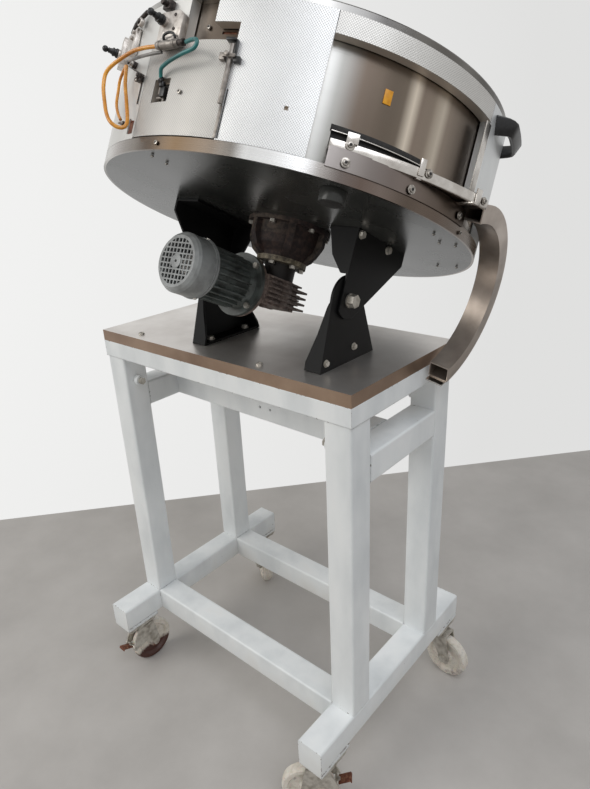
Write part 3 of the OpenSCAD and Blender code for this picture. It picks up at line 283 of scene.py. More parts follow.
def part(place, kind, size, spot=(0, 0, 0), turn=(0, 0, 0), soft=0.6, top=1.0, cut=None):
    """A block, rod, hexagon or ball of a size in mm, with soft edges and cut by a plane if asked, in a frame."""
    bpy.ops.object.select_all(action="DESELECT")
    if kind == "block":
        bpy.ops.mesh.primitive_cube_add(size=1)
    elif kind == "ball":
        bpy.ops.mesh.primitive_uv_sphere_add(segments=24, ring_count=14, radius=0.5)
    else:
        sides = 6 if kind == "hexagon" else 28
        bpy.ops.mesh.primitive_cone_add(vertices=sides, radius1=0.5, radius2=0.5 * top, depth=1)
    made = bpy.context.active_object
    made.data.transform(Matrix.Diagonal((*(v / 1000 for v in size), 1)))
    if cut:
        bpy.ops.object.mode_set(mode="EDIT")
        bpy.ops.mesh.select_all(action="SELECT")
        bpy.ops.mesh.bisect(plane_co=Vector(cut[0]) / 1000, plane_no=cut[1], use_fill=True, clear_outer=True)
        bpy.ops.object.mode_set(mode="OBJECT")
    if soft and kind != "ball":
        edge = made.modifiers.new("edge", "BEVEL")
        edge.width, edge.segments, edge.limit_method = soft / 1000, 2, "ANGLE"
        bpy.ops.object.modifier_apply(modifier="edge")
    turned = Euler([radians(t) for t in turn]).to_matrix().to_4x4()
    made.data.transform(place @ Matrix.Translation(Vector(spot) / 1000) @ turned)
    return made


def piece(name, look, nodes, parts, body="drum"):
    """Joins parts to one piece, which rides on a body and stands for CAD nodes."""
    bpy.ops.object.select_all(action="DESELECT")
    for p in parts:
        p.select_set(True)
    bpy.context.view_layer.objects.active = parts[0]
    if len(parts) > 1:
        bpy.ops.object.join()
    made = bpy.context.active_object
    made.name = made.data.name = name
    made.data.materials.clear()
    made.data.materials.append(look)
    bpy.ops.object.shade_smooth_by_angle(angle=radians(32))
    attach(made, body)
    if nodes:
        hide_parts(*nodes)
    return made


castor_x, castor_y = 0.3252, -0.246
brake_hinge = (0.026819, 0, 0.074565)
for name, side, turn in (("pedal_fl", -1, -91), ("pedal_fr", 1, 35)):
    place = (Matrix.Translation((side * castor_x, castor_y, 0)) @ Matrix.Rotation(radians(turn), 4, "Z")
        @ Matrix.Translation(brake_hinge))
    piece("rusty_" + name, rusty_steel, ["brake_" + name], [
        part(place, "block", (30, 22, 2.6), (16, 0, 7.4), (0, -23, 0), soft=1),
        part(place, "block", (2.6, 22, 7), (30, 0, 11.2), (0, -23, 0), soft=1)], body=name)
    piece("sleeve_" + name, zinc, [], [
        part(place, "rod", (9, 9, 31), (0, 0, 0), (90, 0, 0)),
        part(place, "rod", (6, 6, 38), (0, 0, 0), (90, 0, 0)),
        part(place, "block", (9, 8, 8), (3, 0, 3), (0, -23, 0))], body=name)

# ---- Table ----
# A board clad in brushed stainless sheet that is folded down over its edges, on a lifting frame.
# The face is grey with a fine grain along its length and fine scratches; the folded edge is painted brown, a painted
# reflection of the room.
table_steel, tree, shader = finish("brushed stainless sheet", 0.34, 0.85)
where = add(tree, "TexCoord").outputs["Object"]
# grain: 1 mm lines, drawn coarser than the real 0.2 mm so that they show
along = add(tree, "Mapping", {"Vector": where, "Scale": (6, 700, 700)})
grain = add(tree, "TexNoise", {"Vector": along, "Scale": 1.0, "Detail": 3.0})
haze = add(tree, "TexNoise", {"Vector": where, "Scale": 9.0, "Detail": 4.0})
face_tone = add(tree, "ValToRGB", {"Fac": haze}, stops=[(0.3, "#C8C2BD"), (0.7, "#E6E2DE")])
# the faces that do not look up get this brown tone as a painted reflection
fold_painted_reflection = add(tree, "ValToRGB", {"Fac": haze}, stops=[(0.3, "#8A7363"), (0.7, "#B09884")])
upward = add(tree, "SeparateXYZ", {"Vector": add(tree, "NewGeometry").outputs["True Normal"]}).outputs["Z"]
wire(shader,
    Base_Color=add(tree, "Mix", {"Factor": upward, "A": fold_painted_reflection, "B": face_tone}, data_type="RGBA"),
    Roughness=add(tree, "MapRange", {"Value": grain, "To Min": 0.24, "To Max": 0.46}),
    Normal=add(tree, "Bump", {"Height": grain, "Distance": 0.00008, "Strength": 0.5}))
dress(table_steel, "table_top")

# ---- Brackets ----
# Folded 5 mm steel plates, powder-coated satin black: the lower pair stands on the table, the upper pair
# is bolted under the drum. Their outer faces are bare.
black_coat, tree, shader = finish("black powder coat", 0.44, Specular_IOR_Level=0.18)
where = add(tree, "TexCoord").outputs["Object"]
rounded = add(tree, "Bevel", {"Radius": 0.002}, samples=4)
# powder coat grit of 2 mm, under dust in clouds of 60 mm
grit = add(tree, "TexNoise", {"Vector": where, "Scale": 500.0, "Detail": 2.0})
dust = add(tree, "TexNoise", {"Vector": where, "Scale": 17.0, "Detail": 5.0, "Roughness": 0.6})
wire(shader,
    Base_Color=add(tree, "ValToRGB", {"Fac": dust}, stops=[(0.35, "#0A0A0B"), (0.7, "#151516")]),
    Roughness=add(tree, "MapRange", {"Value": dust, "To Min": 0.34, "To Max": 0.56}),
    Normal=add(tree, "Bump", {"Height": grit, "Distance": 0.0002, "Strength": 0.35, "Normal": rounded}))
dress(black_coat, "bracket_lower_left", "bracket_lower_right", "bracket_upper_left", "bracket_upper_right")


# ---- Drum ----
# A base plate in satin grey, a brushed band and inner wall of stainless sheet, and lagged covers between
# the band and the bright rim. The front covers are of dimpled sheet, the others are plain.
cover_radius = 0.36


def drum_space(tree):
    """Object coordinates in the drum's own frame, in metres, as (x, y, z), arc length and height."""
    where = add(tree, "TexCoord").outputs["Object"]
    place = drum_place.to_translation()
    own = add(tree, "Mapping", {"Vector": where, "Location": place, "Rotation": (-lean, 0, 0)}, vector_type="TEXTURE")
    xyz = add(tree, "SeparateXYZ", {"Vector": own})
    turn = add(tree, "Math", {0: xyz.outputs["Y"], 1: xyz.outputs["X"]}, operation="ARCTAN2")
    arc = add(tree, "Math", {0: turn, 1: cover_radius}, operation="MULTIPLY")
    return own, arc, xyz.outputs["Z"]


def cover_finish(name, dark, light, dimples):
    """Stainless sheet, rolled with a pattern of small staggered dimples, or plain."""
    made, tree, shader = finish(name, 0.40, 0.55)
    own, arc, up = drum_space(tree)
    haze = add(tree, "TexNoise", {"Vector": own, "Scale": 6.0, "Detail": 3.0})
    tone = add(tree, "ValToRGB", {"Fac": haze}, stops=[(0.3, dark), (0.7, light)])
    # vertical wipe marks, 20-40 mm wide
    drawn = add(tree, "CombineXYZ", {"X": arc, "Z": add(tree, "Math", {0: up, 1: 0.1}, operation="MULTIPLY")})
    sweep = add(tree, "TexNoise", {"Vector": drawn, "Scale": 34.0, "Detail": 3.0})
    wire(shader, Roughness=add(tree, "MapRange", {"Value": sweep, "To Min": 0.30, "To Max": 0.50}))
    if dimples:
        # dimples of 2 mm, every second row shifted by half, on the outside only
        pitch = 0.0042
        deep = None
        for shift in (0.0, 0.5):
            u = add(tree, "Math", {0: arc, 1: 1 / pitch, 2: shift}, operation="MULTIPLY_ADD")
            v = add(tree, "Math", {0: up, 1: 1 / pitch, 2: shift}, operation="MULTIPLY_ADD")
            u = add(tree, "Math", {0: add(tree, "Math", {0: u}, operation="FRACT"), 1: 0.5}, operation="SUBTRACT")
            v = add(tree, "Math", {0: add(tree, "Math", {0: v}, operation="FRACT"), 1: 0.5}, operation="SUBTRACT")
            spread = add(tree, "CombineXYZ", {"X": u, "Y": add(tree, "Math", {0: v, 1: 0.8}, operation="MULTIPLY")})
            far = add(tree, "VectorMath", {0: spread}, operation="LENGTH")
            spot = add(tree, "MapRange", {"Value": far, "From Min": 0.27, "From Max": 0.13})
            deep = spot if deep is None else add(tree, "Math", {0: deep, 1: spot}, operation="MAXIMUM")
        flat_on = add(tree, "VectorMath", {0: own, 1: (1, 1, 0)}, operation="MULTIPLY")
        away = add(tree, "VectorMath", {0: flat_on}, operation="LENGTH")
        skin_from, skin_to = cover_radius - 0.0012, cover_radius - 0.0008
        outside = add(tree, "MapRange", {"Value": away, "From Min": skin_from, "From Max": skin_to})
        deep = add(tree, "Math", {0: deep, 1: outside}, operation="MULTIPLY")
        # the dimples' colour is darkened towards grey: painted shade in each dimple
        shade = add(tree, "Math", {0: deep, 1: 0.42}, operation="MULTIPLY")
        tone = add(tree, "Mix", {"Factor": shade, "A": tone, "B": linear("#5F6467")}, data_type="RGBA")
        tone = add(tree, "Mix", {"Factor": outside, "A": linear("#D2C8BC"), "B": tone}, data_type="RGBA")
        wire(shader, Normal=add(tree, "Bump", {"Height": deep, "Distance": 0.0004, "Strength": 0.4}, invert=True))
    wire(shader, Base_Color=tone)
    return made


dress(cover_finish("dimpled stainless sheet", "#DDDDDD", "#F2F2F2", True), "cover_main")
dress(cover_finish("dimpled stainless, warmer", "#C3C0BC", "#DCDAD6", True), "cover_strip")
dress(cover_finish("dimpled stainless, duller", "#A5A29E", "#BEBBB7", True), "cover_door")
dress(cover_finish("pale stainless sheet", "#C6C5C2", "#DCDBD8", False), "cover_left")
dress(cover_finish("grey stainless sheet", "#C6C8C9", "#DCDEDE", False), "cover_right", "covers_rear")


def brushed_finish(name, dark, middle, light, rough, streak):
    """Brushed stainless in the drum's frame: fine grain round the drum, and soft upright streaks of painted light in
    its colour.
    """
    made, tree, shader = finish(name, rough, 1.0)
    own, arc, up = drum_space(tree)
    slow = add(tree, "Math", {0: arc, 1: 4.0}, operation="MULTIPLY")
    fast = add(tree, "Math", {0: up, 1: 700.0}, operation="MULTIPLY")
    along = add(tree, "CombineXYZ", {"X": slow, "Z": fast})
    grain = add(tree, "TexNoise", {"Vector": along, "Scale": 1.0, "Detail": 3.0})
    across = add(tree, "CombineXYZ", {"X": arc, "Z": add(tree, "Math", {0: up, 1: 0.06}, operation="MULTIPLY")})
    painted_light_streaks = add(tree, "TexNoise", {"Vector": across, "Scale": streak, "Detail": 2.0, "Roughness": 0.4})
    wire(shader,
        Base_Color=add(tree, "ValToRGB", {"Fac": painted_light_streaks}, stops=[(0.34, dark), (0.55, middle), (0.72, light)]),
        Roughness=add(tree, "MapRange", {"Value": grain, "To Min": rough * 0.75, "To Max": rough * 1.3}),
        Normal=add(tree, "Bump", {"Height": grain, "Distance": 0.00008, "Strength": 0.5}))
    return made


def painted_reflections(look, *stops):
    """Multiplies a finish's colour by tones at drum angles, in degrees: painted reflections that stand for what the
    steel mirrors.
    """
    tree = look.node_tree
    shader = tree.nodes["Principled BSDF"]
    plain = shader.inputs["Base Color"].links[0].from_socket
    own, arc, up = drum_space(tree)
    first, last = stops[0][0], stops[-1][0]
    start, end = radians(first) * cover_radius, radians(last) * cover_radius
    along = add(tree, "MapRange", {"Value": arc, "From Min": start, "From Max": end})
    places = [((a - first) / (last - first), code) for a, code in stops]
    tones = add(tree, "ValToRGB", {"Fac": along}, stops=places)
    wire(shader,
        Base_Color=add(tree, "Mix", {"Factor": 1.0, "A": tones, "B": plain}, data_type="RGBA", blend_type="MULTIPLY"))
    return look


# painted reflections: the band's colour is made lighter where it would mirror bright parts of the room and brown
# where it would mirror the floor
dress(painted_reflections(brushed_finish("brushed stainless band", "#E4E4E4", "#F6F6F6", "#FFFFFF", 0.26, 11.0),
    (-150, "#8A8784"), (-130, "#807D7A"), (-122, "#A8A5A2"), (-112, "#D2CFCB"), (-105, "#ACA6A2"), (-95, "#8B847D"),
    (-90, "#645950"), (-80, "#60503F"), (-70, "#6A6159"), (-65, "#96918C"), (-62, "#FFFFFF"), (-49.5, "#FFFFFF"),
    (-45, "#A8A39F"), (-40, "#766D69"), (-35, "#6D5F58"), (-30, "#82756E"), (-22, "#6A5E55"), (-12, "#6E6158"),
    (0, "#7A7068"), (12, "#80776F"), (40, "#A39C95")), "base_band")
# painted reflections: the plate's colour goes from pale to dark brown round the drum, as it would mirror the room and
# the floor
dress(painted_reflections(brushed_finish("brushed stainless plate", "#D4D4D4", "#EEEEEE", "#FFFFFF", 0.30, 8.0),
    (-46, "#B0AAA8"), (-38, "#A59E9B"), (-28, "#8B807B"), (-18, "#7C7068"), (-9, "#665A50"), (0, "#4E433B")),
    "lower_plate", "outlet_ledge")
# painted reflections: the wall's colour has narrow bright streaks among brown ones, as brushed steel shows in a lit
# room
dress(painted_reflections(brushed_finish("brushed stainless wall", "#D8D8D8", "#EEEEEE", "#FFFFFF", 0.32, 17.0),
    (-95, "#B5AFA7"), (-85, "#9A9086"), (-80, "#6E645B"), (-70, "#5A5048"), (-52, "#7A7068"), (-48.5, "#CFCECB"),
    (-45, "#8E8D89"), (-42, "#7F7A75"), (-39, "#766A60"), (-34, "#6F645A"), (-27.5, "#7B7065"), (-24.8, "#DED2C2"),
    (-22.4, "#887B70"), (-18.5, "#9A8D80"), (-14.8, "#D8CCBC"), (-12.5, "#998C80"), (-6, "#796E64"), (4, "#7A6F65"),
    (14, "#B5ADA4")), "inner_wall")
# painted reflections: the rim's colour is white where it would mirror bright parts of the room and grey between
dress(painted_reflections(brushed_finish("bright stainless rim", "#8E8C89", "#B4B2AF", "#E6E5E2", 0.24, 7.0),
    (-60, "#FFFFFF"), (-46, "#C0C0C0"), (-38, "#8E8D8D"), (-30, "#B0AEAC"), (-22, "#A3A09D"), (-14, "#B8B6B4"),
    (-6, "#989694"), (2, "#999796"), (10, "#A9A7A6"), (30, "#FFFFFF")), "top_rim")
dress(brushed_finish("worn stainless disc with painted streaks of light", "#8D8780", "#A9A39B", "#C4BEB5", 0.30, 5.0), "feed_disc")

grey_coat, tree, shader = finish("grey satin enamel", 0.34, Coat_Weight=0.12, Coat_Roughness=0.12,
    Specular_IOR_Level=0.34)
own, arc, up = drum_space(tree)
# greasy clouds of 100 mm, and small specks of dirt
cloud = add(tree, "TexNoise", {"Vector": own, "Scale": 8.0, "Detail": 4.0})
speck = add(tree, "TexNoise", {"Vector": own, "Scale": 160.0, "Detail": 3.0})
body = add(tree, "ValToRGB", {"Fac": cloud}, stops=[(0.3, "#2B2C2A"), (0.7, "#3D3E3C")])
flecks = add(tree, "MapRange", {"Value": speck, "From Min": 0.68, "From Max": 0.74, "To Max": 0.5})
wire(shader,
    Base_Color=add(tree, "Mix", {"Factor": flecks, "A": body, "B": linear("#2A2826")}, data_type="RGBA"),
    Roughness=add(tree, "MapRange", {"Value": cloud, "To Min": 0.20, "To Max": 0.34}))
dress(grey_coat, "base_disc")

# ---- Outlet ----
# A polished guide rail stands off a ledge below the slot, held by three clips with washered socket screws.
# A black sheet inside the slot is painted shade, a bright strip edges the opening, and a post's stub is below.
def skin(angle, height, radius=360):
    """The frame of a spot on the drum's skin: x round the drum, y up its axis, z outwards."""
    axes = Matrix(((0, 0, 1, 0), (1, 0, 0, 0), (0, 1, 0, 0), (0, 0, 0, 1)))
    out = Matrix.Rotation(radians(angle), 4, "Z") @ Matrix.Translation((radius / 1000, 0, height / 1000))
    return drum_place @ out @ axes


def sheet(span, levels, radius, thick, centre=(0, 0), soft=0.6):
    """A strip of sheet bowed round the drum's axis, or round another centre, in degrees and mm."""
    bpy.ops.object.select_all(action="DESELECT")
    bpy.ops.mesh.primitive_cylinder_add(vertices=180, radius=radius / 1000, depth=(levels[1] - levels[0]) / 1000,
        end_fill_type="NOTHING")
    made = bpy.context.active_object
    bpy.ops.object.mode_set(mode="EDIT")
    for angle, side in zip(span, (-1, 1)):
        bpy.ops.mesh.select_all(action="SELECT")
        outwards = (-sin(radians(angle)) * side, cos(radians(angle)) * side, 0)
        bpy.ops.mesh.bisect(plane_co=(0, 0, 0), plane_no=outwards, clear_outer=True)
    bpy.ops.object.mode_set(mode="OBJECT")
    wall = made.modifiers.new("wall", "SOLIDIFY")
    wall.thickness = thick / 1000
    bpy.ops.object.modifier_apply(modifier="wall")
    if soft:
        edge = made.modifiers.new("edge", "BEVEL")
        edge.width, edge.segments, edge.limit_method = soft / 1000, 2, "ANGLE"
        bpy.ops.object.modifier_apply(modifier="edge")
    made.data.transform(drum_place @ Matrix.Translation((centre[0] / 1000, centre[1] / 1000, sum(levels) / 2000)))
    return made


# polished by hand: a tight highlight, with faint smears of 20 mm
bright_steel, tree, shader = finish("polished stainless", 0.2, 1.0)
own, arc, up = drum_space(tree)
smear = add(tree, "TexNoise", {"Vector": own, "Scale": 45.0, "Detail": 4.0})
wire(shader,
    Base_Color=add(tree, "ValToRGB", {"Fac": smear}, stops=[(0.3, "#B5AFA9"), (0.7, "#D9D5D0")]),
    Roughness=add(tree, "MapRange", {"Value": smear, "To Min": 0.17, "To Max": 0.28}))
dress(bright_steel, "chute_foot")

# bright, with dark specks of 4 mm, drawn coarser than the real ones so that they show
screw_steel, tree, shader = finish("bright socket screws", 0.28, 1.0)
own, arc, up = drum_space(tree)
worn = add(tree, "TexNoise", {"Vector": own, "Scale": 260.0, "Detail": 3.0})
wire(shader, Base_Color=add(tree, "ValToRGB", {"Fac": worn}, stops=[(0.35, "#6E6862"), (0.65, "#C2BDB6")]))

# matt and crumbled, so it gives no clear highlight; the same finish serves for flat black pieces that are painted
# shade
black_rubber, tree, shader = finish("black rubber", 0.7)
own, arc, up = drum_space(tree)
crumb = add(tree, "TexNoise", {"Vector": own, "Scale": 150.0, "Detail": 4.0})
wire(shader,
    Base_Color=add(tree, "ValToRGB", {"Fac": crumb}, stops=[(0.35, "#0E0D0D"), (0.65, "#242220")]),
    Normal=add(tree, "Bump", {"Height": crumb, "Distance": 0.0003, "Strength": 0.3}))

rail_centre = (-94.27, 129.27)
piece("outlet_rail", bright_steel, ["guide_rail"], [
    sheet((-47.1, -15.5), (43.4, 59), 512, 6, rail_centre, 1.2)])
piece("outlet_clips", bright_steel, ["rail_clamps"], [
    part(skin(-38.95, 65.5, 355.9), "block", (18, 15, 2.4), (0, 0, 1.3), (0, -6, 0)),
    part(skin(-21.45, 59.5, 369.9), "block", (9.7, 25, 2.4), (0, 0, 1.3), (0, -9.5, 0)),
    part(skin(-4.75, 54.5, 393.0), "block", (11.7, 25, 2.4), (0, 0, 1.3), (0, -13, 0)),
    part(skin(-21.4, 43.8, 364), "block", (9, 3.5, 6), (0, 0, 2)),
    part(skin(-5.5, 43.8, 364), "block", (11, 3.5, 30), (0, 0, 14))])
below = Matrix.Rotation(pi, 4, "X")
post = drum_place @ Matrix.Rotation(radians(-39), 4, "Z") @ Matrix.Translation((0.318, 0, 0)) @ below
piece("post_stub", grey_coat, ["base_post"], [part(post, "rod", (42, 42, 20), (0, 0, 10.2))])
piece("post_plug", black_rubber, [], [part(post, "rod", (38, 38, 1), (0, 0, 20.3), soft=0.3)])
# two thin black sheets stand in the slot as painted shade
piece("slot_painted_shade", black_rubber, [], [
    sheet((-46, 1), (51, 81), 337.6, 1, soft=0.2),
    sheet((-44.3, -18.7), (73, 82.5), 341.2, 0.8, soft=0.2)])
# a dark strip just inside the inner wall is painted shade for a dark slot there
piece("wall_slot_painted_shade", rusty_steel, [], [sheet((-77.6, -71.4), (176.5, 187.5), 337.6, 1, soft=0.2)])
piece("window_strip", bright_steel, [], [
    sheet((-0.7, 2.4), (77, 190), 361.2, 1, soft=0.3),
    sheet((-44, -18.6), (72.6, 74), 343.4, 0.9, soft=0.2)])


def screws(spots):
    """Socket screws at (frame, width, washer width): their heads, and flat dark hexagons on them that are painted
    shade for the sockets.
    """
    heads, socket_shades = [], []
    for place, width, washer in spots:
        if washer:
            heads.append(part(place, "rod", (washer, washer, 1.4), (0, 0, 0.7), soft=0.3))
        heads.append(part(place, "rod", (width, width, 3), (0, 0, 2.2), soft=0.5))
        socket_shades.append(part(place, "hexagon", (width * 0.55, width * 0.55, 0.4), (0, 0, 3.7), soft=0))
    return heads, socket_shades


under = [drum_place @ Matrix.Translation((x / 1000, y / 1000, 0)) @ below for x, y in (
    (-6, -341), (-6, -312), (324, -16), (311, 34), (336, 46), (230, 202), (272, 200), (-324, -16), (-311, 34),
    (-230, 202))]
heads, socket_shades = screws([
    (skin(-39.2, 55.8, 356.0), 9, 15), (skin(-19.4, 54.9, 372.4), 9, 14), (skin(-2.6, 53.8, 396.4), 8, 13),
    (skin(-39.6, 27.9, 364), 9, 14), (skin(-22.2, 26.2, 364), 9, 14), (skin(-3.5, 28.8, 364), 9, 13),
    (skin(-0.3, 7.3), 6.5, 0), (skin(-86.1, 9.4), 6.5, 0), (skin(-82.3, 84.8), 6.5, 0),
    (skin(-80.7, 190, 340), 6.5, 0)] + [(u, 5, 0) for u in under])
piece("screw_heads", screw_steel, ["socket_screws"], heads)
piece("screw_socket_shades", black_rubber, [], socket_shades)

# ---- Chute ----
# A rectangular duct of stainless sheet, rolled into a bow that carries the parts round and down to the
# table's edge. It is brushed along its bend and looks brown with grease.
# brushed along the bend in lines of 4 mm, with brown grease in patches of 70 mm
duct_steel, tree, shader = finish("greasy brushed stainless", 0.36, 0.75)
where = add(tree, "TexCoord").outputs["Object"]
duct_turn = radians(11.296)
square_on = add(tree, "Mapping", {"Vector": where, "Rotation": (0, duct_turn, 0)})
sideways = add(tree, "SeparateXYZ", {"Vector": square_on}).outputs["X"]
lines = add(tree, "TexNoise", {"Vector": add(tree, "CombineXYZ", {"X": sideways}), "Scale": 260.0, "Detail": 3.0})
grease = add(tree, "TexNoise", {"Vector": where, "Scale": 14.0, "Detail": 4.0})
wire(shader,
    Base_Color=add(tree, "ValToRGB", {"Fac": grease}, stops=[(0.3, "#8E837A"), (0.55, "#AEA298"), (0.75, "#C6BBB1")]),
    Roughness=add(tree, "MapRange", {"Value": lines, "To Min": 0.22, "To Max": 0.44}))
dress(duct_steel, "chute")

# ---- Drive ----
# A worm gearbox hangs from a ribbed bell housing under the drum; a finned motor is flanged to its side.
# The castings are raw, rusty and dusty; the motor is sprayed grey, with an oily body and a pale fan cowl.
def cast_finish(name, dark, middle, light, rough):
    """Raw casting: rusty crust of 10 mm, with grey dust lying on what faces up."""
    made, tree, shader = finish(name, rough)
    own, arc, up = drum_space(tree)
    crust = add(tree, "TexNoise", {"Vector": own, "Scale": 95.0, "Detail": 6.0, "Roughness": 0.68})
    facing = add(tree, "SeparateXYZ", {"Vector": add(tree, "NewGeometry").outputs["Normal"]}).outputs["Z"]
    body = add(tree, "ValToRGB", {"Fac": crust}, stops=[(0.32, dark), (0.5, middle), (0.68, light)])
    patchy = add(tree, "MapRange", {"Value": crust, "From Min": 0.38, "From Max": 0.55, "To Max": 0.75})
    lying = add(tree, "MapRange", {"Value": facing, "From Min": 0.25, "From Max": 0.8})
    lies = add(tree, "Math", {0: lying, 1: patchy}, operation="MULTIPLY")
    wire(shader,
        Base_Color=add(tree, "Mix", {"Factor": lies, "A": body, "B": linear("#8C8170")}, data_type="RGBA"),
        Normal=add(tree, "Bump", {"Height": crust, "Distance": 0.0012, "Strength": 0.55}))
    return made


dress(cast_finish("rusty raw casting", "#17100F", "#2C201E", "#4A3831", 0.72), "bell_housing")
dress(cast_finish("oily grey casting", "#4A3E39", "#786963", "#9C8D84", 0.5), "gearbox")
ring_look = cast_finish("dusty machined ring", "#2A241E", "#7A705E", "#BDB29A", 0.6)
tree = ring_look.node_tree
shader = tree.nodes["Principled BSDF"]
dusty = shader.inputs["Base Color"].links[0].from_socket
own, arc, up = drum_space(tree)
# only the ring is dusty; the neck below it is oily and dark
neck = add(tree, "MapRange", {"Value": up, "From Min": -0.0775, "From Max": -0.0785})
wire(shader, Base_Color=add(tree, "Mix", {"Factor": neck, "A": dusty, "B": linear("#1B1512")}, data_type="RGBA"))
dress(ring_look, "bell_ring")


def motor_finish(name, dark, light, grime, rough):
    """Sprayed aluminium casting: even, slightly textured, with oily grime in patches of 30 mm."""
    made, tree, shader = finish(name, rough)
    own, arc, up = drum_space(tree)
    oil = add(tree, "TexNoise", {"Vector": own, "Scale": 30.0, "Detail": 5.0, "Roughness": 0.6})
    fine = add(tree, "TexNoise", {"Vector": own, "Scale": 600.0, "Detail": 2.0})
    body = add(tree, "ValToRGB", {"Fac": oil}, stops=[(0.3, dark), (0.7, light)])
    mask = add(tree, "MapRange", {"Value": oil, "From Min": 0.52, "From Max": 0.40, "To Max": grime})
    wire(shader,
        Base_Color=add(tree, "Mix", {"Factor": mask, "A": body, "B": linear("#241F1B")}, data_type="RGBA"),
        Normal=add(tree, "Bump", {"Height": fine, "Distance": 0.0002, "Strength": 0.4}))
    return made


dress(motor_finish("grey sprayed cowl", "#858787", "#9B9E9E", 0.15, 0.36), "motor_cowl", "terminal_box")
dress(motor_finish("grey-green motor casting", "#4B514E", "#626866", 0.45, 0.40), "motor_body")
# a plain boss in the middle of the inlet grid, two beads round the cowl's open end, and three of its screws
motor_arm, motor_drop = -0.030, -0.1375
motor_at = drum_place @ Matrix.Translation((motor_arm, 0, motor_drop)) @ Matrix.Rotation(radians(90), 4, "X")
beads = [part(motor_at, "rod", (25, 25, 1.8), (0, 0, 231.2), soft=0.5)]
for level, thick in ((181.5, 1.6), (186, 1.1)):
    bpy.ops.object.select_all(action="DESELECT")
    bpy.ops.mesh.primitive_torus_add(major_segments=72, minor_segments=8, major_radius=0.0542,
        minor_radius=thick / 1000)
    beads.append(bpy.context.active_object)
    beads[-1].data.transform(motor_at @ Matrix.Translation((0, 0, level / 1000)))
piece("cowl_beads", bpy.data.materials["grey sprayed cowl"], [], beads)
piece("cowl_screws", zinc, [], [
    part(motor_at @ Matrix.Rotation(radians(a), 4, "Z"), "rod", (6.5, 6.5, 3), (55.4, 0, 183.5), (0, 90, 0))
    for a in (75, 180, 285)])
# a small black disc on the boss is painted shade for its centre hole
piece("cowl_hole_shade", black_rubber, [], [part(motor_at, "rod", (5, 5, 0.6), (0, 0, 232.2), soft=0.2)])

# ground and oiled: a tight highlight, with stains of 20 mm
steel_shaft, tree, shader = finish("ground steel", 0.24, 1.0)
own, arc, up = drum_space(tree)
oiled = add(tree, "TexNoise", {"Vector": own, "Scale": 50.0, "Detail": 3.0})
wire(shader, Base_Color=add(tree, "ValToRGB", {"Fac": oiled}, stops=[(0.35, "#7A7672"), (0.65, "#A9A5A0")]))
dress(steel_shaft, "drive_shaft", "motor_rotor")

# ---- Valves and air fittings ----
# Two alloy valve blocks on the left covers, each with a black ringed knob, and a grey cylinder across the
# near one. Small fittings take the hoses, and a lever valve with a thin rod stands beside the door.
# milled and handled: pale and dull, with stains of 11 mm
alloy, tree, shader = finish("machined aluminium", 0.40, 0.8)
own, arc, up = drum_space(tree)
dull = add(tree, "TexNoise", {"Vector": own, "Scale": 90.0, "Detail": 5.0})
wire(shader, Base_Color=add(tree, "ValToRGB", {"Fac": dull}, stops=[(0.35, "#A39C96"), (0.65, "#D6D0CA")]))

# an even dull grey, mottled at 8 mm
grey_zinc, tree, shader = finish("grey passivated steel", 0.45, 0.7)
own, arc, up = drum_space(tree)
dull = add(tree, "TexNoise", {"Vector": own, "Scale": 120.0, "Detail": 4.0})
wire(shader, Base_Color=add(tree, "ValToRGB", {"Fac": dull}, stops=[(0.35, "#77716C"), (0.65, "#9D9791")]))

# nearly black, worn paler in specks of 5 mm
dark_brass, tree, shader = finish("blackened brass", 0.42, 0.6)
own, arc, up = drum_space(tree)
sooty = add(tree, "TexNoise", {"Vector": own, "Scale": 220.0, "Detail": 4.0})
wire(shader, Base_Color=add(tree, "ValToRGB", {"Fac": sooty}, stops=[(0.35, "#1F1B1A"), (0.65, "#4A423F")]))

# deep black with a broad soft highlight, faintly grained
black_plastic, tree, shader = finish("black moulded nylon", 0.33)
where = add(tree, "TexCoord").outputs["Object"]
mould = add(tree, "TexNoise", {"Vector": where, "Scale": 240.0, "Detail": 3.0})
wire(shader,
    Base_Color=add(tree, "ValToRGB", {"Fac": mould}, stops=[(0.35, "#0C0C0D"), (0.65, "#1C1C1E")]),
    Normal=add(tree, "Bump", {"Height": mould, "Distance": 0.0003, "Strength": 0.25}))

near, far = skin(-88.3, 176), skin(-117.2, 182)
piece("valve_blocks", alloy, ["hose_manifold"], [
    part(near, "block", (50, 50, 12), (0, 0, 6.3), cut=((14, 25, 0), (0.6, 0.8, 0))),
    part(near, "block", (30, 12, 13), (-1, -21, 8)),
    part(skin(-90, 182), "rod", (15, 15, 4), (-4, 4, 14)),
    part(near, "rod", (6, 6, 4), (-9, -8, 13)),
    part(far, "block", (36, 46, 13), (0, 2, 6.8), cut=((12, 22, 0), (0.6, 0.8, 0))),
    part(skin(-109.3, 183), "block", (46, 40, 8), (0, 0, 4.3)),
    part(skin(-119, 182), "rod", (15, 15, 4), (-4, 4, 15)),
    part(skin(-107.4, 198), "rod", (6, 6, 5), (0, 0, 10)),
    part(skin(-108.4, 190), "rod", (6, 6, 5), (0, 0, 10)),
    part(skin(-104.2, 208), "rod", (14, 14, 7), (0, 0, 8), soft=1.5)])
across = skin(-86.2, 148, 376)
piece("cross_cylinder", grey_zinc, [], [
    part(across, "rod", (11, 11, 46), (-5, 0, 0), (0, 90, 0)),
    part(across, "rod", (13, 13, 4), (-22, 0, 0), (0, 90, 0)),
    part(across, "rod", (12.5, 12.5, 5), (9, 0, 0), (0, 90, 0))])
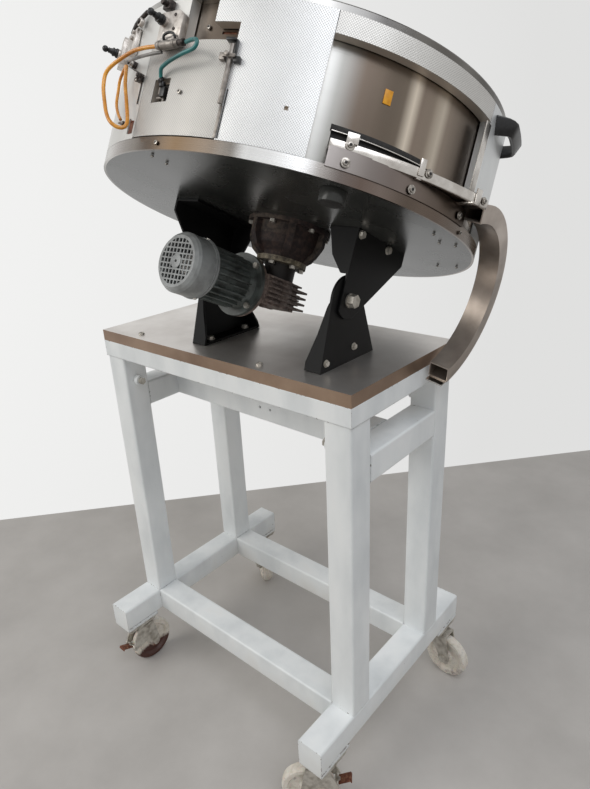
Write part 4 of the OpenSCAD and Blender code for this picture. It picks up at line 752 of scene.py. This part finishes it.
piece("cylinder_end", dark_brass, [], [
    part(across, "rod", (9, 9, 9), (22, 0, 0), (0, 90, 0)),
    part(across, "hexagon", (11, 11, 4), (27, 0, 0), (0, 90, 0)),
    part(near, "rod", (5, 5, 1.6), (7, 18, 12.6), soft=0.3),
    part(near, "rod", (5, 5, 1.6), (9, -3, 12.6), soft=0.3),
    part(skin(-104.2, 208), "rod", (8, 8, 6), (0, 0, 11.5), soft=1)])
bail = tube("valve_bail", [(-88.7, 154, 374), (-88.6, 158.5, 378), (-88.1, 162, 379), (-86.8, 163.8, 379),
    (-85.6, 162, 379), (-85.0, 158.5, 378), (-84.9, 154, 374)], 0.004, black_plastic)[0]
elbow = tube("rim_elbow", [(-102.2, 222, 366), (-104.2, 218, 367), (-108, 214, 367), (-112, 208, 365)], 0.007,
    dark_brass)[0]
for name, angle in (("knob_near", -90), ("knob_far", -119)):
    foot = skin(angle, 182)
    piece(name + "_grip", black_plastic, [name], [
        part(foot, "rod", (15.5, 15.5, 4.5), (-4, 4, 19), soft=1.2),
        part(foot, "rod", (12.5, 12.5, 3), (-4, 4, 22.5)),
        part(foot, "rod", (14, 14, 3.5), (-4, 4, 25), soft=1.2),
        part(foot, "rod", (11, 11, 8), (-4, 4, 30), top=0.6),
        part(foot, "rod", (8.6, 8.6, 2.4), (-4, 4, 32.5), soft=0.8),
        part(foot, "ball", (10.5, 10.5, 10.5), (-4, 4, 38.5))], body=name)

meet, low_end, lever = skin(-104.5, 143), skin(-103, 46), skin(-98.7, 113)
piece("dark_fittings", dark_brass, ["hose_fittings"], [
    part(meet, "hexagon", (12, 12, 6), (0, 0, 3.3)),
    part(meet, "rod", (7, 7, 4), (0, 0, 13)),
    part(low_end, "rod", (9, 9, 5), (0, 0, 2.8)),
    part(lever, "block", (13, 9, 7), (0, 0, 3.8)),
    part(lever, "rod", (6, 6, 15), (0, 0, 7), (0, 90, 20)),
    part(lever, "hexagon", (7, 7, 4), (3, 3, 10)),
    part(skin(-98.2, 91), "block", (2.4, 34, 1.4), (0, 0, 1)),
    part(skin(-92, 216), "block", (17, 13, 10), (0, 0, 5.3)),
    part(skin(-92, 216), "rod", (9, 9, 10), (0, 0, 14), soft=1.5)])
piece("bright_fittings", alloy, [], [
    part(meet, "rod", (9, 9, 4), (0, 0, 8)),
    part(meet, "rod", (10.5, 10.5, 2), (0, 0, 11.3)),
    part(low_end, "rod", (6, 6, 8), (0, 0, 8)),
    part(lever, "hexagon", (8, 8, 3), (-4, -1, 8))])
rod = tube("lever_rod", [(-109.7, 150, 363), (-103, 132, 366), (-96.2, 114.5, 366)], 0.0018, dark_brass)[0]
# a dark plate here is painted shade that stands for a narrow slot; a small stud sits on it
piece("slot_painted_shade_tab", rusty_steel, [], [
    part(skin(-98.9, 38.5), "block", (11, 20, 1), (0, 0, 0.4), soft=0.3),
    part(skin(-98.9, 47), "rod", (4.5, 4.5, 2), (0, 0, 1.4), soft=0.5)])

# ---- Door and handle ----
# The door's edge is held by a grey rod under a small clamp and a black angle. A black elbow sits in a cut-out
# of the door. A black bow handle lies round the right cover, and a bare amber label is on the wall.
hinge = skin(-70.2, 111)
piece("hinge_rod", grey_zinc, ["door_hinge"], [
    part(hinge, "rod", (7, 7, 84), (0, 0, 4.2), (90, 0, 0)),
    part(skin(-72.1, 134.5), "block", (9, 10, 7), (0, 0, 3.8)),
    part(skin(-70.3, 135), "block", (20, 5, 2.5), (0, 0, 9)),
    part(skin(-70.6, 136), "hexagon", (7, 7, 4), (0, 0, 12)),
    part(skin(-70.0, 45), "block", (4.6, 46, 1.2), (0, 0, 0.9), soft=0.3)])
piece("hinge_black", black_plastic, [], [
    part(skin(-70.7, 158.5), "block", (15, 4, 9), (0, 0, 4.8)),
    part(skin(-69.3, 148), "block", (3, 23, 6), (0, 0, 3.4)),
    part(skin(-68.4, 131.5), "block", (10, 8, 7), (0, 0, 3.8)),
    part(skin(-69.35, 57), "block", (1.6, 70, 0.8), (0, 0, 0.6), soft=0.2)])
cutout = skin(-89.2, 89.5)
# the black plate at the back of the cut-out is painted shade in the recess
piece("elbow_black", black_plastic, ["door_elbow"], [
    part(cutout, "block", (31, 31, 2), (0, 0, -12.5)),
    part(cutout, "block", (11, 15, 12), (4, -2, -5), soft=1.5),
    part(cutout, "rod", (10, 10, 8), (0, 9, -1), (90, 0, 0), soft=1),
    part(cutout, "rod", (7.5, 7.5, 9), (0, 14, 3), (60, 0, 0), soft=1)])
piece("elbow_metal", grey_zinc, [], [
    part(cutout, "block", (9, 13, 5), (-9, 4, -8)),
    part(cutout, "rod", (5, 5, 14), (-7, -8, -7), (0, 90, 0)),
    part(cutout, "rod", (4, 4, 8), (3, -11, -6), (90, 0, 0))])

section = bpy.data.curves.new("handle_section", "CURVE")
outline = section.splines.new("POLY")
outline.points.add(11)
half_wide, half_thick, corner = 13, 4.5, 2.5
corners = [
    (x * (half_wide - corner) + corner * cos(radians(t)), y * (half_thick - corner) + corner * sin(radians(t)))
    for x, y, t0 in ((1, 1, 0), (-1, 1, 90), (-1, -1, 180), (1, -1, 270)) for t in (t0, t0 + 45, t0 + 90)]
for point, (x, y) in zip(outline.points, corners):
    point.co = (y / 1000, x / 1000, 0, 1)
outline.use_cyclic_u = True
shape = bpy.data.objects.new("handle_section", section)
bpy.context.scene.collection.objects.link(shape)
bow = bpy.data.curves.new("bow_handle", "CURVE")
bow.dimensions = "3D"
bow.bevel_mode, bow.bevel_object, bow.use_fill_caps = "OBJECT", shape, True
path = bow.splines.new("POLY")
# along the drum, out from it, and the section's share of its full size
run = [(-50, -6, 1.18), (-47, 4, 1.15), (-44, 13, 1.08), (-40, 19, 1.0), (-34, 22.5, 0.94), (-20, 23.5, 0.88),
    (0, 24, 0.86), (24, 23.5, 0.86), (40, 22.5, 0.88), (48, 18.5, 0.9), (53, 11, 0.92), (57, 1, 0.94), (60, -8, 0.96)]
path.points.add(len(run) - 1)
seat = skin(14, 201)
for point, (x, z, wide) in zip(path.points, run):
    point.co = (*(seat @ (Vector((x, 0, z)) / 1000)), 1)
    point.radius = wide
handle = bpy.data.objects.new("bow_handle", bow)
bpy.context.scene.collection.objects.link(handle)
bpy.ops.object.select_all(action="DESELECT")
handle.select_set(True)
bpy.context.view_layer.objects.active = handle
bpy.ops.object.convert(target="MESH")
bpy.data.objects.remove(shape)
piece("bow_handle", black_plastic, ["handle"], [bpy.context.active_object])

# enamel on a small plate: amber with faint clouds of 9 mm
amber_label, tree, shader = finish("amber enamelled label", 0.42)
own, arc, up = drum_space(tree)
mottle = add(tree, "TexNoise", {"Vector": own, "Scale": 110.0, "Detail": 4.0})
wire(shader, Base_Color=add(tree, "ValToRGB", {"Fac": mottle}, stops=[(0.3, "#C9820C"), (0.7, "#F0AE22")]))
piece("amber_label", amber_label, [], [
    part(skin(-32.2, 144.2, 340), "block", (13, 21, 0.8), (0, 0, 0.7), soft=0.2)])

# ---- Floor, light and surroundings ----
# A pale concrete floor that ends behind the machine, white surroundings, and two soft lamps.
bpy.ops.mesh.primitive_plane_add(size=1)
ground = bpy.context.active_object
ground.name = "floor"
ground.data.transform(Matrix.Diagonal((16, 16, 1, 1)))
# the floor ends at the foot of a white wall
bpy.ops.object.mode_set(mode="EDIT")
bpy.ops.mesh.select_all(action="SELECT")
bpy.ops.mesh.bisect(plane_co=(-1.374, -0.163, 0), plane_no=(0.756, -0.654, 0), clear_inner=True)
bpy.ops.object.mode_set(mode="OBJECT")
# floated by machine and worn in clouds of 300 mm
floor_look, tree, shader = finish("pale concrete", 0.7)
where = add(tree, "TexCoord").outputs["Object"]
wear = add(tree, "TexNoise", {"Vector": where, "Scale": 3.0, "Detail": 8.0, "Roughness": 0.6})
wire(shader, Base_Color=add(tree, "ValToRGB", {"Fac": wear}, stops=[(0.3, "#B3AFAB"), (0.7, "#C6C2BE")]))
ground.data.materials.append(floor_look)

world = bpy.data.worlds.new("studio")
bpy.context.scene.world = world
world.use_nodes = True
tree = world.node_tree
back = tree.nodes["Background"]
seen = add(tree, "LightPath")
plain = add(tree, "Math", {0: seen.outputs["Is Camera Ray"], 1: seen.outputs["Is Glossy Ray"]}, operation="MAXIMUM")
plain = add(tree, "Math", {0: plain, 1: seen.outputs["Is Transmission Ray"]}, operation="MAXIMUM")
wire(back, Color=linear("#EDEDEC"))
# the room is a little brighter towards -X
side = add(tree, "SeparateXYZ", {"Vector": add(tree, "TexCoord").outputs["Generated"]}).outputs["X"]
bright = add(tree, "MapRange", {"Value": side, "From Min": -0.9, "From Max": -0.35, "To Min": 1.04, "To Max": 0.88})
wire(back, Strength=add(tree, "MapRange", {"Value": plain, "To Min": 0.52, "To Max": bright}))


def lamp(name, place, aim, size, watts, tone):
    """A soft square lamp that points at a place."""
    made = bpy.data.objects.new(name, bpy.data.lights.new(name, "AREA"))
    bpy.context.scene.collection.objects.link(made)
    made.data.size = size
    made.data.energy = watts
    made.data.color = linear(tone)[:3]
    turned = (Vector(place) - Vector(aim)).to_track_quat("Z", "Y").to_matrix().to_4x4()
    made.matrix_world = Matrix.Translation(place) @ turned


lamp("window", (-1.6, -3.2, 3.0), (0, 0, 0.9), 2.6, 62, "#FFFDF8")
lamp("skylight", (1.8, -0.6, 3.6), (0, 0, 0.8), 2.0, 32, "#F4F8FF")
bpy.context.scene.view_settings.view_transform = "Standard"
